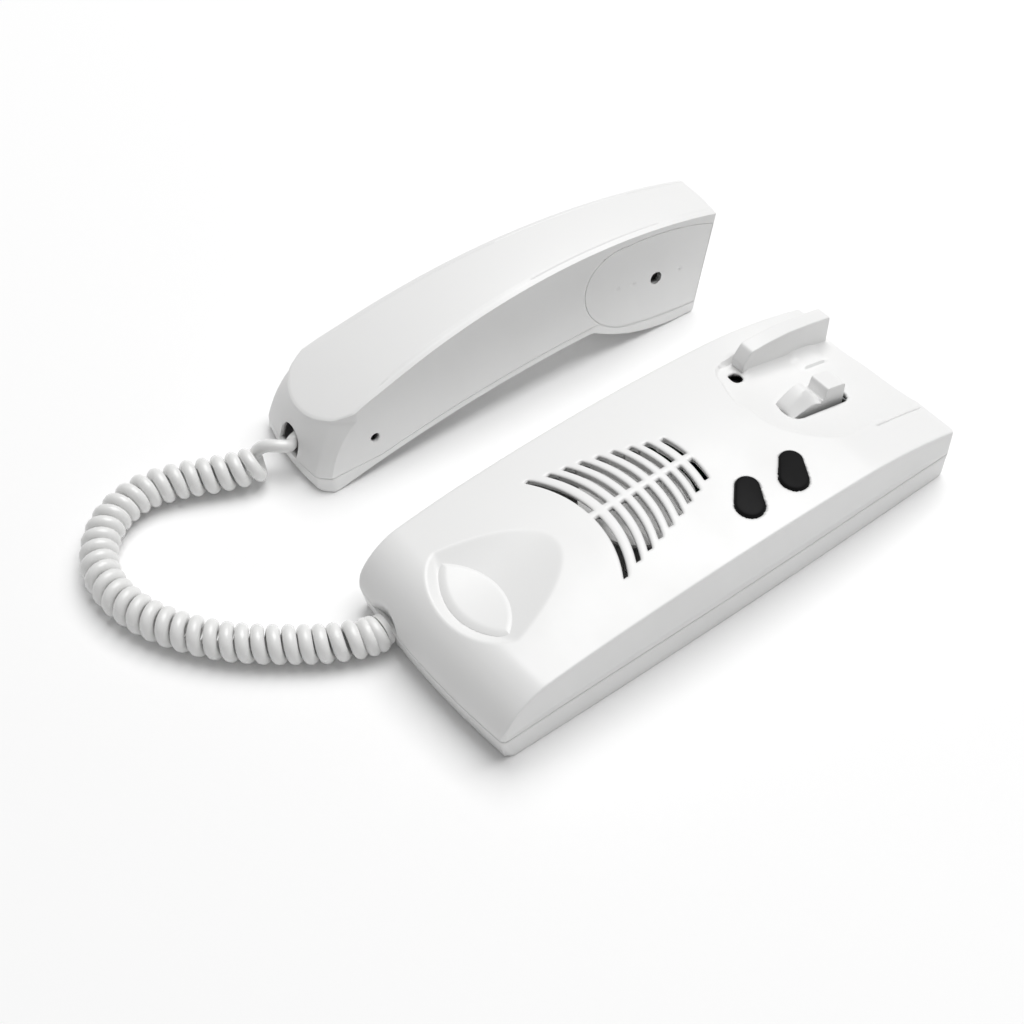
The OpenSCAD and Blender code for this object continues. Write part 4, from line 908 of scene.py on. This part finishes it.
# let-in panel: rows from the round end to the leaning ear end, columns between its edges, turned down at its border
def makePanel(side, name, node):
    lastS, leanS = 174.0, 155.0
    turn = np.linspace(0.04, np.pi / 2, 34)[:-1]
    q = np.linspace(1, -1, 64)[None, :]

    def grid(inset):
        s = np.concatenate([panel.s - (panel.reach - inset) * np.cos(turn), np.arange(134, 141, 0.8),
                            np.arange(141, 152.4, 0.42), np.arange(153, lastS, 0.9), [lastS]])[:, None]
        top, low = panelEdges(s, inset)
        z = (top + low) / 2 + q * (top - low) / 2
        end = earPlane(z) - panel.endGap - inset
        return np.where(s > leanS, leanS + (s - leanS) * (end - leanS) / (lastS - leanS), s + 0 * q), z

    def holeEdge(a, b):
        return np.hypot(a - panel.holeS, b - panel.holeZ) - panel.hole
    s, z = snapTo(*grid(panel.gap + panel.edge), holeEdge, 0.27)
    sink = 0 * s
    for ds, dz in panel.dimples:
        reach = panel.dimpleHalf - np.hypot(s - ds, z - dz)
        sink = sink + panel.dimple * ease(reach / panel.dimpleFade)
    cap = np.stack([s, z, sideU(s, z) - 0.02 - sink], -1)
    cs, cz = [g.ravel()[capLoop(*s.shape)] for g in grid(panel.gap)]
    corner = np.stack([cs, cz, sideU(cs, cz) - 0.05], -1)
    points, capFaces, wallFaces, rings = capWithWalls(cap, corner, corner - [0, 0, panel.thick], 3, 2)
    midS, midZ, midU = middles(points, capFaces)
    points, faces = keepCap(points, capFaces, wallFaces, holeEdge(midS, midZ) > -0.04)
    faces = faces if side > 0 else faces[:, ::-1]
    ps, pz, pu = points.T
    putMesh(name, handPoints(ps, side * pu, pz), faces, "handset", [node])


makeBackShell()
makeFrontShell()
makePanel(1, "panelRight", "ear_panel_right")
makePanel(-1, "panelLeft", "ear_panel_left")
print("handset made")


# finishes: one group for moulded grain and one for handling marks, used by every material with its own values
finishes = {
    "shellWhite": {"base": (0.885, 0.885, 0.88), "deep": (0.86, 0.86, 0.857), "grain": 1500, "drift": 22,
                   "rough": (0.3, 0.42), "bump": 0.035, "mark": 0.35},
    "keyBlack": {"base": (0.005, 0.005, 0.0053), "deep": (0.008, 0.008, 0.0084), "grain": 2200, "drift": 90,
                 "rough": (0.5, 0.64), "bump": 0.1, "mark": 0.5, "shine": 0.1},
    "ringerGrey": {"base": (0.5, 0.505, 0.51), "deep": (0.43, 0.434, 0.44), "grain": 1300, "drift": 60,
                   "rough": (0.45, 0.65), "bump": 0.08, "mark": 0.4},
    "cordWhite": {"base": (0.86, 0.86, 0.853), "deep": (0.83, 0.83, 0.822), "grain": 1900, "drift": 45,
                  "rough": (0.24, 0.34), "bump": 0.03, "coat": 0.25, "mark": 0.4},
    "gasketRubber": {"base": (0.09, 0.092, 0.096), "deep": (0.065, 0.066, 0.07), "grain": 1100, "drift": 70,
                     "rough": (0.62, 0.8), "bump": 0.1, "mark": 0.6},
    # cover screw: its near-black colour is painted shade, standing in for the shade down in its deep recess
    "screwPaintedShade": {"base": (0.018, 0.018, 0.02), "deep": (0.03, 0.03, 0.033), "grain": 900, "drift": 120,
                   "rough": (0.2, 0.4), "bump": 0.06, "mark": 0.5},
    "grommetGrey": {"base": (0.8, 0.8, 0.795), "deep": (0.75, 0.75, 0.743), "grain": 1100, "drift": 70,
                    "rough": (0.5, 0.66), "bump": 0.08, "mark": 0.4},
    "platedSteel": {"base": (0.56, 0.57, 0.58), "deep": (0.44, 0.45, 0.46), "grain": 900, "drift": 120,
                    "rough": (0.22, 0.42), "bump": 0.05, "metal": 1.0, "mark": 0.5},
    "boardGreen": {"base": (0.028, 0.147, 0.06), "deep": (0.018, 0.1, 0.042), "grain": 700, "drift": 160,
                   "rough": (0.28, 0.5), "bump": 0.05, "coat": 0.2, "mark": 0.5},
    "sleeveBlue": {"base": (0.034, 0.08, 0.2), "deep": (0.025, 0.06, 0.16), "grain": 1200, "drift": 140,
                   "rough": (0.25, 0.4), "bump": 0.04, "coat": 0.15, "mark": 0.5}}
grainDepth = 0.0002      # metres
cloud = sizes(detail=6.0, scale=38.0, low=0.35, high=0.68, grey=(0.95, 0.948, 0.942, 1))
mixFirst, mixSecond, mixResult = 6, 7, 2      # a mix node's colour sockets


def newGroup(name, inputs, outputs):
    group = bpy.data.node_groups.new(name, "ShaderNodeTree")
    for way, sockets in (("INPUT", inputs), ("OUTPUT", outputs)):
        for label, kind in sockets.items():
            group.interface.new_socket(label, in_out=way, socket_type="NodeSocket" + kind)
    return group, group.nodes.new("NodeGroupInput"), group.nodes.new("NodeGroupOutput")


# links, each given as a node and its output, then a node and its input
def wire(tree, *links):
    for source, output, target, entry in links:
        tree.links.new(source.outputs[output], target.inputs[entry])


def setInputs(node, values):
    for label, value in values.items():
        node.inputs[label].default_value = value


# noise on object coordinates
def addNoise(group, values):
    coord, noise = group.nodes.new("ShaderNodeTexCoord"), group.nodes.new("ShaderNodeTexNoise")
    setInputs(noise, values)
    wire(group, (coord, "Object", noise, "Vector"))
    return noise


def addMix(group, blend):
    mix = group.nodes.new("ShaderNodeMix")
    mix.data_type, mix.blend_type = "RGBA", blend
    return mix


# grain: fine noise for height, slow noise that drifts between two tones
def makeGrainGroup():
    group, ins, outs = newGroup("mouldedGrain", {"Base": "Color", "Deep": "Color", "Grain": "Float", "Drift": "Float"},
                                {"Colour": "Color", "Height": "Float"})
    fine, slow, mix = addNoise(group, {"Detail": 3.0}), addNoise(group, {"Detail": 4.0}), addMix(group, "MIX")
    wire(group, (ins, "Grain", fine, "Scale"), (ins, "Drift", slow, "Scale"), (slow, "Fac", mix, "Factor"),
         (ins, "Base", mix, mixFirst), (ins, "Deep", mix, mixSecond), (mix, mixResult, outs, "Colour"),
         (fine, "Fac", outs, "Height"))
    return group


# handling marks: patches of cloudy noise that move the roughness between its two ends and grey the colour a little
def makeMarksGroup():
    group, ins, outs = newGroup("handlingMarks", {"Colour": "Color", "Smooth": "Float", "Rough": "Float",
                                                  "Amount": "Float"}, {"Colour": "Color", "Roughness": "Float"})
    patches = addNoise(group, {"Detail": cloud.detail, "Scale": cloud.scale})
    spread, rough = group.nodes.new("ShaderNodeMapRange"), group.nodes.new("ShaderNodeMapRange")
    share, greyed = group.nodes.new("ShaderNodeMath"), addMix(group, "MULTIPLY")
    share.operation = "MULTIPLY"
    setInputs(spread, {"From Min": cloud.low, "From Max": cloud.high})
    setInputs(greyed, {mixSecond: cloud.grey})
    wire(group, (patches, "Fac", spread, "Value"), (spread, "Result", rough, "Value"),
         (ins, "Smooth", rough, "To Min"), (ins, "Rough", rough, "To Max"), (spread, "Result", share, 0),
         (ins, "Amount", share, 1), (share, "Value", greyed, "Factor"), (ins, "Colour", greyed, mixFirst),
         (greyed, mixResult, outs, "Colour"), (rough, "Result", outs, "Roughness"))
    return group


# a material: the grain's colour through the marks into the shader, and the grain's height as bump
def makeFinish(name, size, grainGroup, marksGroup):
    mat = bpy.data.materials.new(name)
    mat.use_nodes = True
    tree = mat.node_tree
    shader, bump = tree.nodes["Principled BSDF"], tree.nodes.new("ShaderNodeBump")
    grain, marks = tree.nodes.new("ShaderNodeGroup"), tree.nodes.new("ShaderNodeGroup")
    grain.node_tree, marks.node_tree = grainGroup, marksGroup
    setInputs(grain, {"Base": (*size["base"], 1), "Deep": (*size["deep"], 1), "Grain": size["grain"],
                      "Drift": size["drift"]})
    setInputs(marks, {"Smooth": size["rough"][0], "Rough": size["rough"][1], "Amount": size["mark"]})
    setInputs(bump, {"Strength": size["bump"], "Distance": grainDepth})
    setInputs(shader, {"Specular IOR Level": size.get("shine", 0.5), "Metallic": size.get("metal", 0.0),
                       "Coat Weight": size.get("coat", 0.0)})
    wire(tree, (grain, "Colour", marks, "Colour"), (marks, "Colour", shader, "Base Color"),
         (marks, "Roughness", shader, "Roughness"), (grain, "Height", bump, "Height"),
         (bump, "Normal", shader, "Normal"))
    return mat


grainGroup, marksGroup = makeGrainGroup(), makeMarksGroup()
materials = {name: makeFinish(name, size, grainGroup, marksGroup) for name, size in finishes.items()}
slotFinish = {"white_shell": "shellWhite", "black_plastic": "keyBlack", "dark_plastic": "ringerGrey",
              "cord_jacket": "cordWhite", "rubber": "gasketRubber", "steel": "platedSteel", "board": "boardGreen",
              "can_sleeve": "sleeveBlue"}
# the cover screw takes the near-black painted-shade finish for its deep recess
nodeFinish = {"cord_grommet": "grommetGrey", "ringer_cone": "grommetGrey", "ringer_frame": "grommetGrey",
              "cover_screw": "screwPaintedShade"}
pieceFinish = {"cordCurls": "cordWhite", "doorCap": "keyBlack", "auxCap": "keyBlack"}


# every carried node takes its own finish or that of its slot, and every new piece its own
def dress():
    slots = {part["node"]: part["material_slot"] for part in frame["record"]["subparts"]}
    for name, obj in frame["nodes"].items():
        obj.data.materials.clear()
        obj.data.materials.append(materials[nodeFinish.get(name, slotFinish[slots[name]])])
    carried = set(frame["nodes"].values())
    for obj in scene.objects:
        if obj.type == "MESH" and obj not in carried:
            obj.data.materials.append(materials[pieceFinish.get(obj.name, "shellWhite")])


dress()
print("finishes set")

# studio: a white table, one large soft lamp up behind the cradle end, and a weak even sky; metres
studio = sizes(
    table=6.0, tableTone=0.985, tableRough=0.9, tableShine=0.1, sky=0.27, lampAt=(-0.3, 1.1, 3.0),
    lampAim=(-0.04, -0.04, 0.0), lampSize=2.6, lampPower=98.0)


def makeStudio():
    size, tone = studio.table, studio.tableTone
    mesh = bpy.data.meshes.new("floor")
    mesh.from_pydata([(-size, -size, 0), (size, -size, 0), (size, size, 0), (-size, size, 0)], [], [(0, 1, 2, 3)])
    floor = bpy.data.objects.new("floor", mesh)
    scene.collection.objects.link(floor)
    mat = bpy.data.materials.new("paleTable")
    mat.use_nodes = True
    setInputs(mat.node_tree.nodes["Principled BSDF"], {"Base Color": (tone, tone, tone, 1),
              "Roughness": studio.tableRough, "Specular IOR Level": studio.tableShine})
    mesh.materials.append(mat)
    scene.world = bpy.data.worlds.new("studio")
    scene.world.use_nodes = True
    setInputs(scene.world.node_tree.nodes["Background"], {"Color": (1, 1, 1, 1), "Strength": studio.sky})
    lamp = bpy.data.lights.new("overhead", "AREA")
    lamp.size, lamp.energy = studio.lampSize, studio.lampPower
    light = bpy.data.objects.new("overhead", lamp)
    light.location = studio.lampAt
    light.rotation_euler = (Vector(studio.lampAim) - light.location).to_track_quat("-Z", "Y").to_euler()
    scene.collection.objects.link(light)


makeStudio()
scene.view_settings.view_transform = "Standard"
